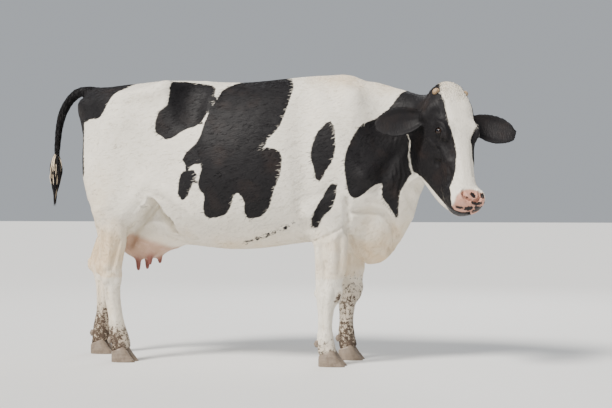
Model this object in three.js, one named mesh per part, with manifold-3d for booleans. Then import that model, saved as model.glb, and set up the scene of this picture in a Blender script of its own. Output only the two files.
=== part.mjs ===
// A mature black-and-white dairy cow, standing, her head turned to her right.
// Millimetres. +X is forward, +Y is the cow's left, +Z is up, and the floor is z = 0.
// The body is one smooth field of blended shapes. Each node of flesh is a skin of rings stretched
// over that field, then parted from its neighbours by thin straight cuts.
import * as THREE from "three";
import { LoftGeometry } from "three/addons/geometries/LoftGeometry.js";
import { mergeVertices } from "three/addons/utils/BufferGeometryUtils.js";
import Module from "manifold-3d";

const wasm = await Module();
wasm.setup();

// ---- Driving dimensions ----
const WITHERS = 1436; // height of the withers
const BACK = 1408; // height of the loin
const BELLY = 537; // lowest point of the belly
const BELLY_HALF = 365; // half the width of the barrel
const HOOK_HALF = 258; // hook bones, half the distance between them
const PIN_HALF = 105; // pin bones, half the distance between them
const KNEE = 330; // height of the knee
const HOCK = 472; // height of the point of the hock
const CORONET_TOE = 66; // height of the hair line over the toe
const CORONET_HEEL = 36; // height of the hair line over the heel
const CLAW_WIDTH = 54;
const CLAW_GAP = 7;
const TOE_ANGLE = 52; // degrees between the front of the claw and the floor
const EYE_RADIUS = 20;
const EAR_LENGTH = 254;
const GAP = 1; // between neighbouring nodes

// Where each leg stands: the middle of its foot, and how far forward its knee and elbow or its hock
// and stifle are of the right leg's.
const FEET = {
  fore_right: { x: 574, y: -152, length: 136, shift: 0 },
  fore_left: { x: 620, y: 140, length: 130, shift: 56 },
  hind_right: { x: -476, y: -160, length: 126, shift: 0 },
  hind_left: { x: -705, y: 172, length: 130, shift: 0 },
};

// The head hangs from the poll, turned to the right and tipped down.
const POLL = new THREE.Vector3(1166, -250, 1335);
const HEAD_TURN = -60;
const HEAD_TIP = 63;
const HEAD_ROLL = -5.8;
const HEAD_SCALE = 1.069;

// ---- Shapes that make the field ----
const smoothMin = (a, b, k) => {
  const h = Math.max(k - Math.abs(a - b), 0) / k;
  return Math.min(a, b) - (h * h * k) / 4;
};

// An ellipsoid, turned about the vertical by turn degrees and pitched by pitch degrees.
function ellipsoid(centre, radii, turn = 0, pitch = 0) {
  const frame = new THREE.Matrix4().makeRotationFromEuler(
    new THREE.Euler(0, THREE.MathUtils.degToRad(pitch), THREE.MathUtils.degToRad(turn), "ZYX"),
  );
  const m = frame.transpose().elements;
  const [cx, cy, cz] = centre;
  const [rx, ry, rz] = radii;
  return (x, y, z) => {
    const dx = x - cx;
    const dy = y - cy;
    const dz = z - cz;
    const a = (m[0] * dx + m[4] * dy + m[8] * dz) / rx;
    const b = (m[1] * dx + m[5] * dy + m[9] * dz) / ry;
    const c = (m[2] * dx + m[6] * dy + m[10] * dz) / rz;
    const near = Math.hypot(a, b, c);
    const slope = Math.hypot(a / rx, b / ry, c / rz);
    return slope > 1e-9 ? (near * (near - 1)) / slope : -Math.min(rx, ry, rz);
  };
}

// A body swept along a curve. Each station is [x, y, z, half width, above, below, power], with the
// section measured square to the curve: above points towards up, and the half width lies across it.
// The power squares up the section, and ends squares up its two rounded ends.
function sweep(stations, { up = [0, 0, 1], power = 2, steps = 5, ends = 2 } = {}) {
  const path = new THREE.CatmullRomCurve3(stations.map((s) => new THREE.Vector3(s[0], s[1], s[2])));
  const size = new THREE.CatmullRomCurve3(stations.map((s) => new THREE.Vector3(s[3], s[4], s[5])));
  const corner = new THREE.CatmullRomCurve3(stations.map((s) => new THREE.Vector3(s[6] ?? power, 0, 0)));
  const upward = new THREE.Vector3(...up);
  const count = (stations.length - 1) * steps;
  const rows = [];
  for (let i = 0; i <= count; i++) {
    const t = i / count;
    const at = path.getPoint(t);
    const along = path.getTangent(t);
    const side = new THREE.Vector3().crossVectors(upward, along).normalize();
    const over = new THREE.Vector3().crossVectors(along, side);
    rows.push([...at, ...along, ...side, ...over, ...size.getPoint(t), corner.getPoint(t).x]);
  }
  return (x, y, z) => {
    let best = Infinity;
    let row = 0;
    let part = 0;
    for (let i = 0; i < count; i++) {
      const a = rows[i];
      const b = rows[i + 1];
      const ex = b[0] - a[0];
      const ey = b[1] - a[1];
      const ez = b[2] - a[2];
      const dx = x - a[0];
      const dy = y - a[1];
      const dz = z - a[2];
      const h = Math.min(1, Math.max(0, (dx * ex + dy * ey + dz * ez) / (ex * ex + ey * ey + ez * ez)));
      const far = (dx - h * ex) ** 2 + (dy - h * ey) ** 2 + (dz - h * ez) ** 2;
      if (far < best) {
        best = far;
        row = i;
        part = h;
      }
    }
    const mix = (j) => rows[row][j] * (1 - part) + rows[row + 1][j] * part;
    const dx = x - mix(0);
    const dy = y - mix(1);
    const dz = z - mix(2);
    const length = dx * mix(3) + dy * mix(4) + dz * mix(5);
    const across = dx * mix(6) + dy * mix(7) + dz * mix(8);
    const above = dx * mix(9) + dy * mix(10) + dz * mix(11);
    const wide = mix(12);
    const high = above > 0 ? mix(13) : mix(14);
    const n = mix(15);
    const ring = (Math.abs(across / wide) ** n + Math.abs(above / high) ** n) ** (1 / n);
    const tip = length / (0.8 * Math.min(wide, high));
    const q = (ring ** ends + Math.abs(tip) ** ends) ** (1 / ends);
    const reach = Math.hypot(dx, dy, dz);
    return q > 1e-6 ? (reach * (q - 1)) / q : -Math.min(wide, high);
  };
}

// Shapes joined one after another, each rounded into the rest over a width k. A shape marked hollow
// is taken away instead, and one marked pair is mirrored to both sides.
function blend(shapes) {
  return (x, y, z) => {
    let d = 1e4;
    for (const { shape, k, pair, hollow } of shapes) {
      const s = shape(x, pair ? Math.abs(y) : y, z);
      if (hollow) d = -smoothMin(-d, s, k);
      else if (s < d + k) d = smoothMin(d, s, k);
    }
    return d;
  };
}

// ---- Trunk ----
const barrel = sweep(
  [
    [-548, 0, 1150, 204, BACK - 1162, 340, 2.4],
    [-450, 0, 1110, 242, BACK - 1113, 385, 2.7],
    [-236, 0, 1050, 285, BACK - 1052, 398, 2.8],
    [-100, 0, 980, 334, BACK - 984, 408, 2.4],
    [100, 0, 920, BELLY_HALF, BACK - 922, 920 - BELLY, 2.15],
    [280, 0, 910, 345, BACK - 900, 344, 2.15],
    [430, 0, 925, 298, WITHERS - 935, 328, 2.1],
    [600, 0, 950, 228, WITHERS - 950, 345, 2.1],
    [740, 0, 985, 172, WITHERS - 1000, 370, 2.1],
  ],
  { ends: 2.3 },
);
const pelvis = sweep([
  [-250, 0, 1285, 262, BACK - 1296, 190, 3.2],
  [-420, 0, 1275, 244, BACK - 1290, 190, 2.8],
  [-560, 0, 1268, 205, BACK - 1292, 180, 2.5],
  [-660, 0, 1262, 150, BACK - 1292, 150, 2.3],
]);
const trunkShapes = [
  { shape: barrel, k: 10 },
  { shape: pelvis, k: 60 },
  { shape: ellipsoid([-90, 85, BACK - 34], [220, 90, 30]), k: 50, pair: true }, // loin shelf
  { shape: ellipsoid([-238, HOOK_HALF - 30, BACK - 62], [82, 50, 44]), k: 70, pair: true }, // hooks
  { shape: ellipsoid([-722, PIN_HALF, 1284], [46, 36, 44]), k: 60, pair: true }, // pins
  { shape: ellipsoid([-732, 0, 1358], [52, 42, 36]), k: 50 }, // tail head
  { shape: ellipsoid([-485, 215, 1200], [120, 48, 110]), k: 90, pair: true }, // thurl
  { shape: ellipsoid([-524, 176, 985], [160, 94, 285], 0, 5), k: 80, pair: true }, // thigh
  { shape: ellipsoid([-350, 222, 850], [72, 52, 95], 0, 20), k: 70, pair: true }, // stifle
  { shape: ellipsoid([-270, 235, 838], [90, 26, 62], 0, 25), k: 60, pair: true }, // flank fold
  // flank hollow
  { shape: ellipsoid([-125, 372, 1262], [120, 96, 92], -8, 0), k: 80, pair: true, hollow: true },
  { shape: ellipsoid([628, 165, 1140], [92, 62, 225], 0, 14), k: 70, pair: true }, // shoulder blade
  { shape: ellipsoid([745, 168, 935], [66, 52, 78]), k: 70, pair: true }, // point of the shoulder
  { shape: ellipsoid([610, 190, 800], [112, 52, 110], 0, -20), k: 70, pair: true }, // upper arm
  { shape: ellipsoid([508, 188, 712], [44, 36, 52]), k: 50, pair: true }, // elbow
  { shape: ellipsoid([744, 0, 586], [108, 84, 124], 0, 8), k: 60 }, // brisket
];

// ---- Neck ----
const neck = sweep(
  [
    [600, 0, 1020, 208, 400, 380],
    [740, 0, 1035, 180, 415, 410],
    [850, -15, 1085, 146, 362, 285],
    [950, -42, 1135, 120, 262, 195],
    [1030, -70, 1172, 98, 158, 150],
    [1085, -98, 1195, 90, 125, 130],
  ],
  { power: 2.1 },
);
const dewlap = sweep(
  [
    [940, -62, 930, 36, 50, 90],
    [932, -55, 870, 34, 52, 90],
    [903, -42, 795, 32, 48, 90],
    [886, -25, 730, 34, 50, 90],
    [862, -10, 660, 42, 56, 90],
    [815, 0, 590, 52, 62, 80],
  ],
  { up: [1, 0, 0] },
);
const neckShapes = [
  { shape: neck, k: 90 },
  { shape: dewlap, k: 60 },
];

// ---- Legs ----
// Stations down the right fore leg: [x, height, half width, front, back].
const FORE = [
  [600, 820, 72, 100, 96],
  [582, 720, 70, 98, 92],
  [565, 630, 66, 92, 90],
  [564, 560, 60, 86, 84],
  [560, 480, 52, 82, 78],
  [554, 405, 47, 73, 72],
  [546, KNEE + 16, 50, 66, 63],
  [543, KNEE - 18, 47, 58, 60],
  [544, 280, 38, 46, 46],
  [539, 225, 33, 38, 37],
  [537, 180, 33, 36, 35],
  [538, 125, 40, 40, 42],
  [541, 96, 44, 42, 45],
  [548, 66, 50, 48, 48],
  [553, 36, 54, 52, 50],
];
// Stations down the right hind leg, and the x of the left one, which stands further back.
const HIND = [
  [-512, 880, 84, 176, 180, -515],
  [-518, 780, 76, 146, 150, -552],
  [-535, 690, 64, 108, 116, -622],
  [-528, 612, 52, 76, 76, -676],
  [-540, 545, 46, 68, 72, -704],
  [-553, HOCK, 47, 66, 72, -728],
  [-554, 436, 45, 60, 61, -722],
  [-551, 400, 40, 53, 53, -712],
  [-549, 350, 35, 46, 47, -706],
  [-541, 285, 33, 43, 43, -708],
  [-529, 205, 34, 43, 43, -712],
  [-514, 153, 40, 45, 46, -714],
  [-501, 112, 44, 47, 49, -716],
  [-494, 72, 50, 48, 48, -722],
  [-490, 40, 54, 50, 50, -726],
];
const mixTo = (from, to, t) => from + (to - from) * Math.min(1, Math.max(0, t));

// Across the body the leg runs from its root under the trunk in to its foot.
function legY(foot, root, top, z) {
  return mixTo(foot.y, Math.sign(foot.y) * root, (z - 300) / (top - 300));
}
function foreLeg(foot) {
  return sweep(
    FORE.map(([x, z, wide, front, back]) => {
      const forward = foot.shift * mixTo(1, 0.3, (z - 450) / 370);
      return [x + forward, legY(foot, 172, 800, z), z, wide, front, back];
    }),
    { up: [1, 0, 0], steps: 3 },
  );
}
function hindLeg(foot) {
  return sweep(
    HIND.map(([x, z, wide, front, back, leftX]) => {
      return [foot.y < 0 ? x : leftX, legY(foot, 195, 800, z), z, wide, front, back];
    }),
    { up: [1, 0, 0], steps: 3 },
  );
}
const legShapes = [
  { shape: foreLeg(FEET.fore_right), k: 45 },
  { shape: foreLeg(FEET.fore_left), k: 45 },
  { shape: hindLeg(FEET.hind_right), k: 45 },
  { shape: hindLeg(FEET.hind_left), k: 45 },
];

// ---- Head, in its own frame: x runs down the face from the poll, y to the left, z out of the face ----
const headFrame = new THREE.Matrix4()
  .makeRotationFromEuler(
    new THREE.Euler(
      THREE.MathUtils.degToRad(HEAD_ROLL),
      THREE.MathUtils.degToRad(HEAD_TIP),
      THREE.MathUtils.degToRad(HEAD_TURN),
      "ZYX",
    ),
  )
  .scale(new THREE.Vector3(HEAD_SCALE, HEAD_SCALE, HEAD_SCALE))
  .setPosition(POLL);
const headInverse = headFrame.clone().invert();
const EYE = [206, 90, -50];
const HORN_BUD = [10, 72, -37];
const face = sweep(
  [
    [-8, 0, -80, 62, 52, 60],
    [40, 0, -85, 86, 82, 80],
    [110, 0, -88, 94, 90, 100],
    [180, 0, -90, 94, 88, 110],
    [245, 0, -90, 82, 76, 105],
    [315, 0, -90, 66, 60, 85],
    [390, 0, -94, 57, 50, 70],
    [455, 0, -98, 58, 44, 66],
    [510, 0, -102, 62, 40, 60],
    [532, 0, -102, 56, 34, 50],
  ],
  { power: 2.25 },
);
const jaw = sweep(
  [
    [112, 0, -232, 58, 90, 72],
    [200, 0, -256, 80, 110, 88],
    [262, 0, -250, 78, 105, 102],
    [335, 0, -218, 62, 85, 110],
    [415, 0, -184, 54, 70, 96],
    [485, 0, -154, 50, 55, 66],
    [518, 0, -146, 46, 45, 38],
  ],
  { power: 2.2 },
);
const headShapes = [
  { shape: face, k: 20 },
  { shape: jaw, k: 40 },
  { shape: ellipsoid([-10, 0, -56], [34, 74, 50]), k: 40 }, // poll
  { shape: ellipsoid([62, 54, -46], [52, 38, 36]), k: 40, pair: true }, // forehead corners
  { shape: ellipsoid([88, 98, -98], [42, 34, 42]), k: 36, pair: true }, // roots of the ears
  { shape: ellipsoid([205, 54, -205], [88, 34, 98]), k: 40, pair: true }, // cheek
  { shape: ellipsoid([72, 44, -185], [78, 44, 112], 0, 8), k: 60, pair: true }, // parotid, from ear to jaw
  { shape: ellipsoid([196, 80, -44], [50, 28, 36], 8), k: 30, pair: true }, // brow and orbit
  { shape: ellipsoid([300, 50, -104], [84, 22, 22], -12), k: 30, pair: true }, // cheekbone ridge
  { shape: ellipsoid([516, 0, -98], [44, 80, 52]), k: 26 }, // muzzle pad
  { shape: ellipsoid([502, 55, -84], [38, 32, 36]), k: 22, pair: true }, // nostril wings
  { shape: ellipsoid([478, 54, -126], [58, 30, 38]), k: 26, pair: true }, // upper lip
  { shape: ellipsoid([508, 0, -166], [40, 48, 30]), k: 26 }, // chin
  { shape: ellipsoid([206, 126, -50], [25, 26, 18]), k: 14, pair: true, hollow: true }, // eye socket
];
const headField = blend(headShapes);
const [h0, h1, h2, , h4, h5, h6, , h8, h9, h10, , h12, h13, h14] = headInverse.elements;
function headInPlace(x, y, z) {
  const s = h0 * x + h4 * y + h8 * z + h12;
  const w = h1 * x + h5 * y + h9 * z + h13;
  const n = h2 * x + h6 * y + h10 * z + h14;
  return headField(s, w, n) * HEAD_SCALE;
}

const flesh = blend([...trunkShapes, ...neckShapes, ...legShapes, { shape: headInPlace, k: 80 }]);
const udderField = blend([
  { shape: ellipsoid([-425, 52, 618], [140, 90, 122], 0, 8), k: 10, pair: true }, // rear quarters
  { shape: ellipsoid([-335, 56, 640], [110, 84, 92], 0, -6), k: 40, pair: true }, // fore quarters
  { shape: ellipsoid([-225, 55, 632], [125, 70, 54], 0, -4), k: 60, pair: true }, // runs into the belly
]);

// ---- Making solids ----
// A closed geometry as a solid. A ring drawn in to one point leaves flat triangles, which are dropped.
function solidOf(geometry) {
  const bare = new THREE.BufferGeometry().copy(geometry);
  bare.deleteAttribute("normal");
  bare.deleteAttribute("uv");
  const merged = mergeVertices(bare, 1e-3);
  const corners = merged.index.array;
  const kept = [];
  for (let i = 0; i < corners.length; i += 3) {
    const [a, b, c] = corners.subarray(i, i + 3);
    if (a !== b && b !== c && c !== a) kept.push(a, b, c);
  }
  return new wasm.Manifold(
    new wasm.Mesh({
      numProp: 3,
      vertProperties: merged.attributes.position.array,
      triVerts: new Uint32Array(kept),
    }),
  );
}

// Everything beyond a plane, as a block whose face lies on it, for taking away.
function beyond(point, normal, gap = GAP / 2, size = 3000) {
  const facing = new THREE.Quaternion().setFromUnitVectors(new THREE.Vector3(0, 0, 1), normal);
  const block = new THREE.BoxGeometry(size, size, size);
  block.applyQuaternion(facing);
  const centre = point.clone().addScaledVector(normal, size / 2 - gap);
  block.translate(centre.x, centre.y, centre.z);
  return solidOf(block);
}

// Rings of points where rays from an axis leave the field. Each end closes in a dome of rays that
// lean further along the axis, until they meet in one point. rings says how many rings there are
// along each stretch of the axis. A ring lies square to the axis, or to the direction that facings
// gives at each point of it. A crowd over 0 draws the points of a ring towards its top and bottom.
function wrap(field, axis, { rings, around, up = [0, 0, 1], domes = [3, 3], crowd = 0, facings }) {
  const path = new THREE.CatmullRomCurve3(axis.map((p) => new THREE.Vector3(...p)));
  const ways = facings && new THREE.CatmullRomCurve3(facings.map((p) => new THREE.Vector3(...p)));
  const leave = (from, way) => {
    let near = 0;
    let far = 4;
    const at = (r) => field(from.x + way.x * r, from.y + way.y * r, from.z + way.z * r);
    for (;;) {
      const d = at(far);
      if (d > 0 || far > 2500) break;
      near = far;
      far += Math.max(4, Math.min(40, -0.6 * d));
    }
    for (let i = 0; i < 18; i++) {
      const middle = (near + far) / 2;
      if (at(middle) > 0) far = middle;
      else near = middle;
    }
    return near;
  };
  const over = new THREE.Vector3(...up);
  const ring = (t, lean) => {
    const tilt = (lean * Math.PI) / 2;
    const from = path.getPoint(t);
    const along = ways ? ways.getPoint(t).normalize() : path.getTangent(t);
    over.addScaledVector(along, -over.dot(along)).normalize();
    const side = new THREE.Vector3().crossVectors(over, along);
    const points = [];
    for (let j = 0; j < around; j++) {
      const even = (2 * Math.PI * j) / around - Math.PI / 2;
      const a = even + crowd * Math.sin(2 * even);
      const way = side.clone().multiplyScalar(Math.cos(a)).addScaledVector(over, Math.sin(a));
      way.multiplyScalar(Math.abs(lean) < 1 ? Math.cos(tilt) : 0).addScaledVector(along, Math.sin(tilt));
      points.push(from.clone().addScaledVector(way, leave(from, way)));
    }
    return points;
  };
  const sections = [];
  for (let i = domes[0]; i > 0; i--) sections.push(ring(0, -i / domes[0]));
  rings.forEach((count, stretch) => {
    for (let i = 0; i < count; i++) sections.push(ring((stretch + i / count) / rings.length, 0));
  });
  for (let i = 0; i <= domes[1]; i++) sections.push(ring(1, i / domes[1]));
  return solidOf(new LoftGeometry(sections));
}

// A field kept behind planes, each [point, normal], with a margin past them for the cut.
const MARGIN = 45;
function within(field, planes, margin = MARGIN) {
  return (x, y, z) => {
    let d = field(x, y, z);
    for (const [p, n] of planes) {
      d = Math.max(d, (x - p.x) * n.x + (y - p.y) * n.y + (z - p.z) * n.z - margin);
    }
    return d;
  };
}

const nodes = [];
function addNode(name, solid, colour, roughness) {
  const mesh = solid.getMesh();
  const geometry = new THREE.BufferGeometry();
  geometry.setAttribute("position", new THREE.BufferAttribute(new Float32Array(mesh.vertProperties), 3));
  geometry.setIndex(new THREE.BufferAttribute(new Uint32Array(mesh.triVerts), 1));
  geometry.computeVertexNormals();
  const material = new THREE.MeshStandardMaterial({ color: colour, roughness, metalness: 0 });
  const made = new THREE.Mesh(geometry, material);
  made.name = name;
  nodes.push(made);
}

const WHITE_COAT = 0xe6e0d4;
const BLACK_COAT = 0x2a2320;
const PINK_SKIN = 0xc79a86;
const HORN = 0x6b5a48;

// ---- Cuts ----
const vector = (x, y, z) => new THREE.Vector3(x, y, z);
const neckCut = [vector(700, 0, 1430), vector(0.934, -0.05, 0.353).normalize()];
const headCut = [vector(958, -40, 1100), vector(0.91, -0.41, 0).normalize()];
const facing = ([point, normal]) => [point, normal.clone().negate()];

// Each leg is cut off by a plane that rises from the groin or armpit out to the side of the body.
const LEG_ZONES = {
  fore: { inner: 74, innerZ: 545, outer: 260, outerZ: 705, behind: 106, ahead: 112, x: 565 },
  hind: { inner: 60, innerZ: 585, outer: 300, outerZ: 760, behind: 260, ahead: 165, x: -535 },
};
function legCut(name) {
  const zone = LEG_ZONES[name.slice(0, 4)];
  const side = Math.sign(FEET[name].y);
  const outward = vector(0, side * (zone.outer - zone.inner), zone.outerZ - zone.innerZ).normalize();
  const normal = vector(0, side * outward.z, -Math.abs(outward.y));
  return [vector(zone.x, side * zone.inner, zone.innerZ), normal];
}
// The space under the trunk that a leg keeps to itself, as a distance that is negative inside it.
function legZone(name) {
  const zone = LEG_ZONES[name.slice(0, 4)];
  const [p, n] = legCut(name);
  const side = Math.sign(FEET[name].y);
  const middle = p.x + 0.5 * FEET[name].shift;
  return (x, y, z) =>
    Math.max(
      -(y - p.y) * n.y - (z - p.z) * n.z,
      zone.inner - y * side,
      middle - zone.behind - x,
      x - middle - zone.ahead,
    );
}
function legBlock(name, gap) {
  const zone = LEG_ZONES[name.slice(0, 4)];
  const side = Math.sign(FEET[name].y);
  const middle = legCut(name)[0].x + 0.5 * FEET[name].shift;
  const room = new THREE.BoxGeometry(zone.behind + zone.ahead, 600, 1600);
  room.translate(middle + (zone.ahead - zone.behind) / 2, side * (zone.inner + 300), 400);
  return solidOf(room).intersect(beyond(...legCut(name), gap));
}

// ---- Body: trunk, neck and head are one skin of rings, from rump to muzzle, parted by two cuts ----
const legNames = Object.keys(FEET);
const zones = legNames.map(legZone);
const bodyField = (x, y, z) => {
  let d = flesh(x, y, z);
  for (const zone of zones) d = Math.max(d, -zone(x, y, z) - MARGIN);
  return d;
};
const headPoint = (s, w, n) => vector(s, w, n).applyMatrix4(headFrame).toArray();
// Points down the middle of the body, each with the direction its ring faces and the rings up to
// the next point. Round the bend behind the jaw the rings fan out about the fold of the throat.
const SPINE = [
  { at: [-600, 0, 1160], way: [1, 0, -0.25], rings: 3 },
  { at: [-440, 0, 1105], way: [1, 0, -0.32], rings: 3 },
  { at: [-280, 0, 1050], way: [1, 0, -0.25], rings: 3 },
  { at: [-110, 0, 1005], way: [1, 0, -0.12], rings: 2 },
  { at: [60, 0, 982], way: [1, 0, -0.03], rings: 2 },
  { at: [230, 0, 975], way: [1, 0, 0], rings: 2 },
  { at: [400, 0, 977], way: [1, 0, 0.05], rings: 3 },
  { at: [550, 0, 986], way: [1, 0, 0.13], rings: 3 },
  { at: [690, 0, 1008], way: [1, 0, 0.24], rings: 4 },
  { at: [790, -6, 1035], way: [1, -0.05, 0.34], rings: 4 },
  { at: [880, -24, 1070], way: [0.918, -0.147, 0.367], rings: 3 },
  { at: [960, -52, 1110], way: [0.954, -0.214, 0.212], rings: 2 },
  { at: [1022, -92, 1140], way: [0.939, -0.327, -0.11], rings: 2 },
  { at: [1066, -135, 1150], way: [0.864, -0.382, -0.325], rings: 3 },
  { at: headPoint(135, 0, -165), way: [0.728, -0.42, -0.543], rings: 2 },
  { at: headPoint(200, 0, -160), way: [0.508, -0.427, -0.748], rings: 4 },
  { at: headPoint(280, 0, -148), way: [0.227, -0.393, -0.891], rings: 3 },
  { at: headPoint(360, 0, -126), way: [0.227, -0.393, -0.891], rings: 3 },
  { at: headPoint(440, 0, -114), way: [0.227, -0.393, -0.891], rings: 3 },
  { at: headPoint(498, 0, -112), way: [0.227, -0.393, -0.891] },
];
const body = wrap(bodyField, SPINE.map(({ at }) => at), {
  rings: SPINE.slice(0, -1).map(({ rings }) => rings),
  facings: SPINE.map(({ way }) => way),
  around: 30,
  domes: [4, 4],
  crowd: 0.14,
});
let trunk = body.subtract(beyond(...neckCut));
for (const name of legNames) trunk = trunk.subtract(legBlock(name, GAP / 2));

// ---- Tail: the dock arches out from the tail head and hangs clear, and the switch ends in long hair ----
const TAIL = [
  [-700, 0, 1366, 30],
  [-764, 0, 1366, 29],
  [-808, 0, 1345, 27],
  [-846, 0, 1300, 25],
  [-876, 0, 1240, 23],
  [-892, 0, 1160, 20],
  [-900, 0, 1070, 17],
  [-900, 0, 986, 15],
];
const SWITCH = [
  [-900, 0, 984, 15],
  [-900, 0, 950, 21],
  [-904, -2, 900, 27],
  [-908, -4, 850, 24],
  [-908, -6, 800, 15],
  [-906, -6, 766, 6],
];

// A round tube through stations of [x, y, z, radius], closed by a point at each end.
function tube(stations, { rings, around, across = [0, 1, 0], grow = 0, tips = 0 }) {
  const path = new THREE.CatmullRomCurve3(stations.map((s) => vector(s[0], s[1], s[2])));
  const size = new THREE.CatmullRomCurve3(stations.map((s) => vector(s[3], 0, 0)));
  const ring = (t, shrink, ahead) => {
    const along = path.getTangent(t);
    const side = vector(...across);
    const over = vector(0, 0, 0).crossVectors(along, side).normalize();
    const radius = (size.getPoint(t).x + grow) * shrink;
    const at = path.getPoint(t).addScaledVector(along, ahead);
    return Array.from({ length: around }, (_, j) => {
      const a = (2 * Math.PI * j) / around;
      const out = side.clone().multiplyScalar(radius * Math.cos(a));
      return out.addScaledVector(over, radius * Math.sin(a)).add(at);
    });
  };
  const sections = [ring(0, 0, -tips - grow)];
  for (let i = 0; i <= rings; i++) sections.push(ring(i / rings, 1, 0));
  sections.push(ring(1, 0, tips + grow));
  return solidOf(new LoftGeometry(sections));
}
const tail = (grow) => tube(TAIL, { rings: 13, around: 8, grow, tips: 1 });
trunk = trunk.subtract(tail(GAP));
addNode("trunk", trunk, WHITE_COAT, 0.8);
addNode("tail", tail(0), BLACK_COAT, 0.8);
addNode("tail_switch", tube(SWITCH, { rings: 8, around: 8, tips: 0.5 }), BLACK_COAT, 0.9);

const neckSolid = body.subtract(beyond(...facing(neckCut))).subtract(beyond(...headCut));
addNode("neck", neckSolid, BLACK_COAT, 0.8);

// ---- Ears, eyes and horn buds, at home in the head's frame ----
// An ear is a cupped leaf: crescent sections along a line from its root to its tip.
const EARS = {
  right: { root: [90, -90, -112], reach: [4, -212, -118], open: [0.25, -0.35, 1] },
  left: { root: [98, 92, -108], reach: [100, 212, 58], open: [0.1, -0.5, 1] },
};
const EAR_HALF = [24, 38, 53, 62, 67, 69, 66, 58, 45, 24];
const EAR_CUP = [20, 27, 31, 31, 28, 24, 19, 15, 11, 8];
const EAR_THICKNESS = 8;
const EAR_POINTS = 5;
function ear(name, grow) {
  const { root, reach, open } = EARS[name];
  const along = vector(...reach).normalize();
  const across = vector(0, 0, 0).crossVectors(vector(...open), along).normalize();
  const outward = vector(0, 0, 0).crossVectors(along, across);
  const last = EAR_HALF.length - 1;
  const sections = EAR_HALF.map((half, i) => {
    const thick = Math.min(EAR_THICKNESS, 0.7 * EAR_CUP[i]) / 2 + grow;
    const at = vector(...root).addScaledVector(along, (EAR_LENGTH / HEAD_SCALE) * (i / last) ** 0.9);
    at.addScaledVector(along, i === last ? grow : i === 0 ? -grow : 0);
    const arc = (edge, from, to) =>
      Array.from({ length: EAR_POINTS }, (_, j) => {
        const a = from + ((to - from) * j) / (EAR_POINTS - 1);
        const wide = (half - EAR_THICKNESS / 2 + edge) * Math.sin(a);
        const deep = (EAR_CUP[i] - EAR_THICKNESS / 2 + edge) * -Math.cos(a);
        return at.clone().addScaledVector(across, wide).addScaledVector(outward, deep);
      });
    const bend = 1.45;
    return [...arc(thick, -bend, bend), ...arc(-thick, bend, -bend)];
  });
  const placed = sections.map((points) => points.map((point) => point.applyMatrix4(headFrame)));
  return solidOf(new LoftGeometry(placed, { capStart: true, capEnd: true }));
}
function ball(centre, radii, grow, wide = 14, high = 9) {
  const sphere = new THREE.SphereGeometry(1, wide, high);
  sphere.scale(radii[0] + grow, radii[1] + grow, radii[2] + grow);
  sphere.translate(...centre);
  return sphere;
}
const SIDES = { right: -1, left: 1 };
const eye = (side, grow) => {
  const r = EYE_RADIUS / HEAD_SCALE;
  const made = ball([EYE[0], side * EYE[1], EYE[2]], [r, r, r], grow, 10, 7);
  return solidOf(made.applyMatrix4(headFrame));
};
const hornBud = (side, grow) => {
  const made = ball([HORN_BUD[0], side * HORN_BUD[1], HORN_BUD[2]], [15, 16, 20], grow, 8, 5);
  return solidOf(made.applyMatrix4(headFrame));
};

// ---- Head ----
let head = body.subtract(beyond(...facing(headCut))).subtract(beyond(...facing(neckCut)));
for (const side of Object.values(SIDES)) {
  head = head.subtract(eye(side, 0.5)).subtract(hornBud(side, 0.5));
}
for (const name of Object.keys(EARS)) head = head.subtract(ear(name, 0.5));
addNode("head", head, BLACK_COAT, 0.75);
for (const [name, side] of Object.entries(SIDES)) {
  addNode("ear_" + name, ear(name, 0), BLACK_COAT, 0.85);
  addNode("eye_" + name, eye(side, 0), 0x0f0b0a, 0.05);
  addNode("horn_bud_" + name, hornBud(side, 0), 0xc9a878, 0.6);
}

// ---- Feet ----
// Height of the hair line over the sole, at x along a foot that starts at its heel.
const HAIR_SLOPE = (CORONET_TOE - CORONET_HEEL) / 85;
function hairLine(foot) {
  const heel = foot.x - foot.length / 2;
  return [vector(heel, 0, CORONET_HEEL), vector(HAIR_SLOPE, 0, -1).normalize()];
}
// A claw is a wedge on a flat sole: rings rise from the sole and lean back to the hair line.
const TOE_LEAN = 1 / Math.tan(THREE.MathUtils.degToRad(TOE_ANGLE));
function claw(foot, outer) {
  const middle = foot.y + outer * (CLAW_GAP + CLAW_WIDTH) * 0.5;
  const heel = foot.x - foot.length / 2;
  const rings = 3;
  const around = 10;
  const sections = [];
  for (let i = 0; i <= rings; i++) {
    const points = [];
    for (let j = 0; j < around; j++) {
      const a = (2 * Math.PI * j) / around;
      const u = Math.sign(Math.cos(a)) * Math.abs(Math.cos(a)) ** 0.85;
      const v = Math.sign(Math.sin(a)) * Math.abs(Math.sin(a)) ** 0.75;
      const ahead = (foot.length / 2) * (1 + u);
      const lean = (TOE_LEAN * (1 + u)) / 2;
      const top = (CORONET_HEEL + HAIR_SLOPE * ahead) / (1 + HAIR_SLOPE * lean) - GAP;
      const z = (top * i) / rings;
      const taper = v * outer > 0 ? 1 - 0.3 * u * u * (u > 0) : 1;
      const swell = 1 - 0.1 * (i / rings) ** 2 + 0.04 * Math.sin((Math.PI * i) / rings);
      points.push(vector(heel + ahead - lean * z, middle + (CLAW_WIDTH / 2) * v * taper * swell, z));
    }
    sections.push(points);
  }
  return solidOf(new LoftGeometry(sections, { capStart: true, capEnd: true }));
}
// Two dewclaws sit behind each fetlock.
const DEWCLAW = { height: 108, apart: 24, radii: [15, 12, 20] };
function dewclaw(foot, [x, , back], outer, grow) {
  const centre = [x - back + 2, foot.y + outer * DEWCLAW.apart, DEWCLAW.height];
  return solidOf(ball(centre, DEWCLAW.radii, grow, 6, 4));
}

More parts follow.
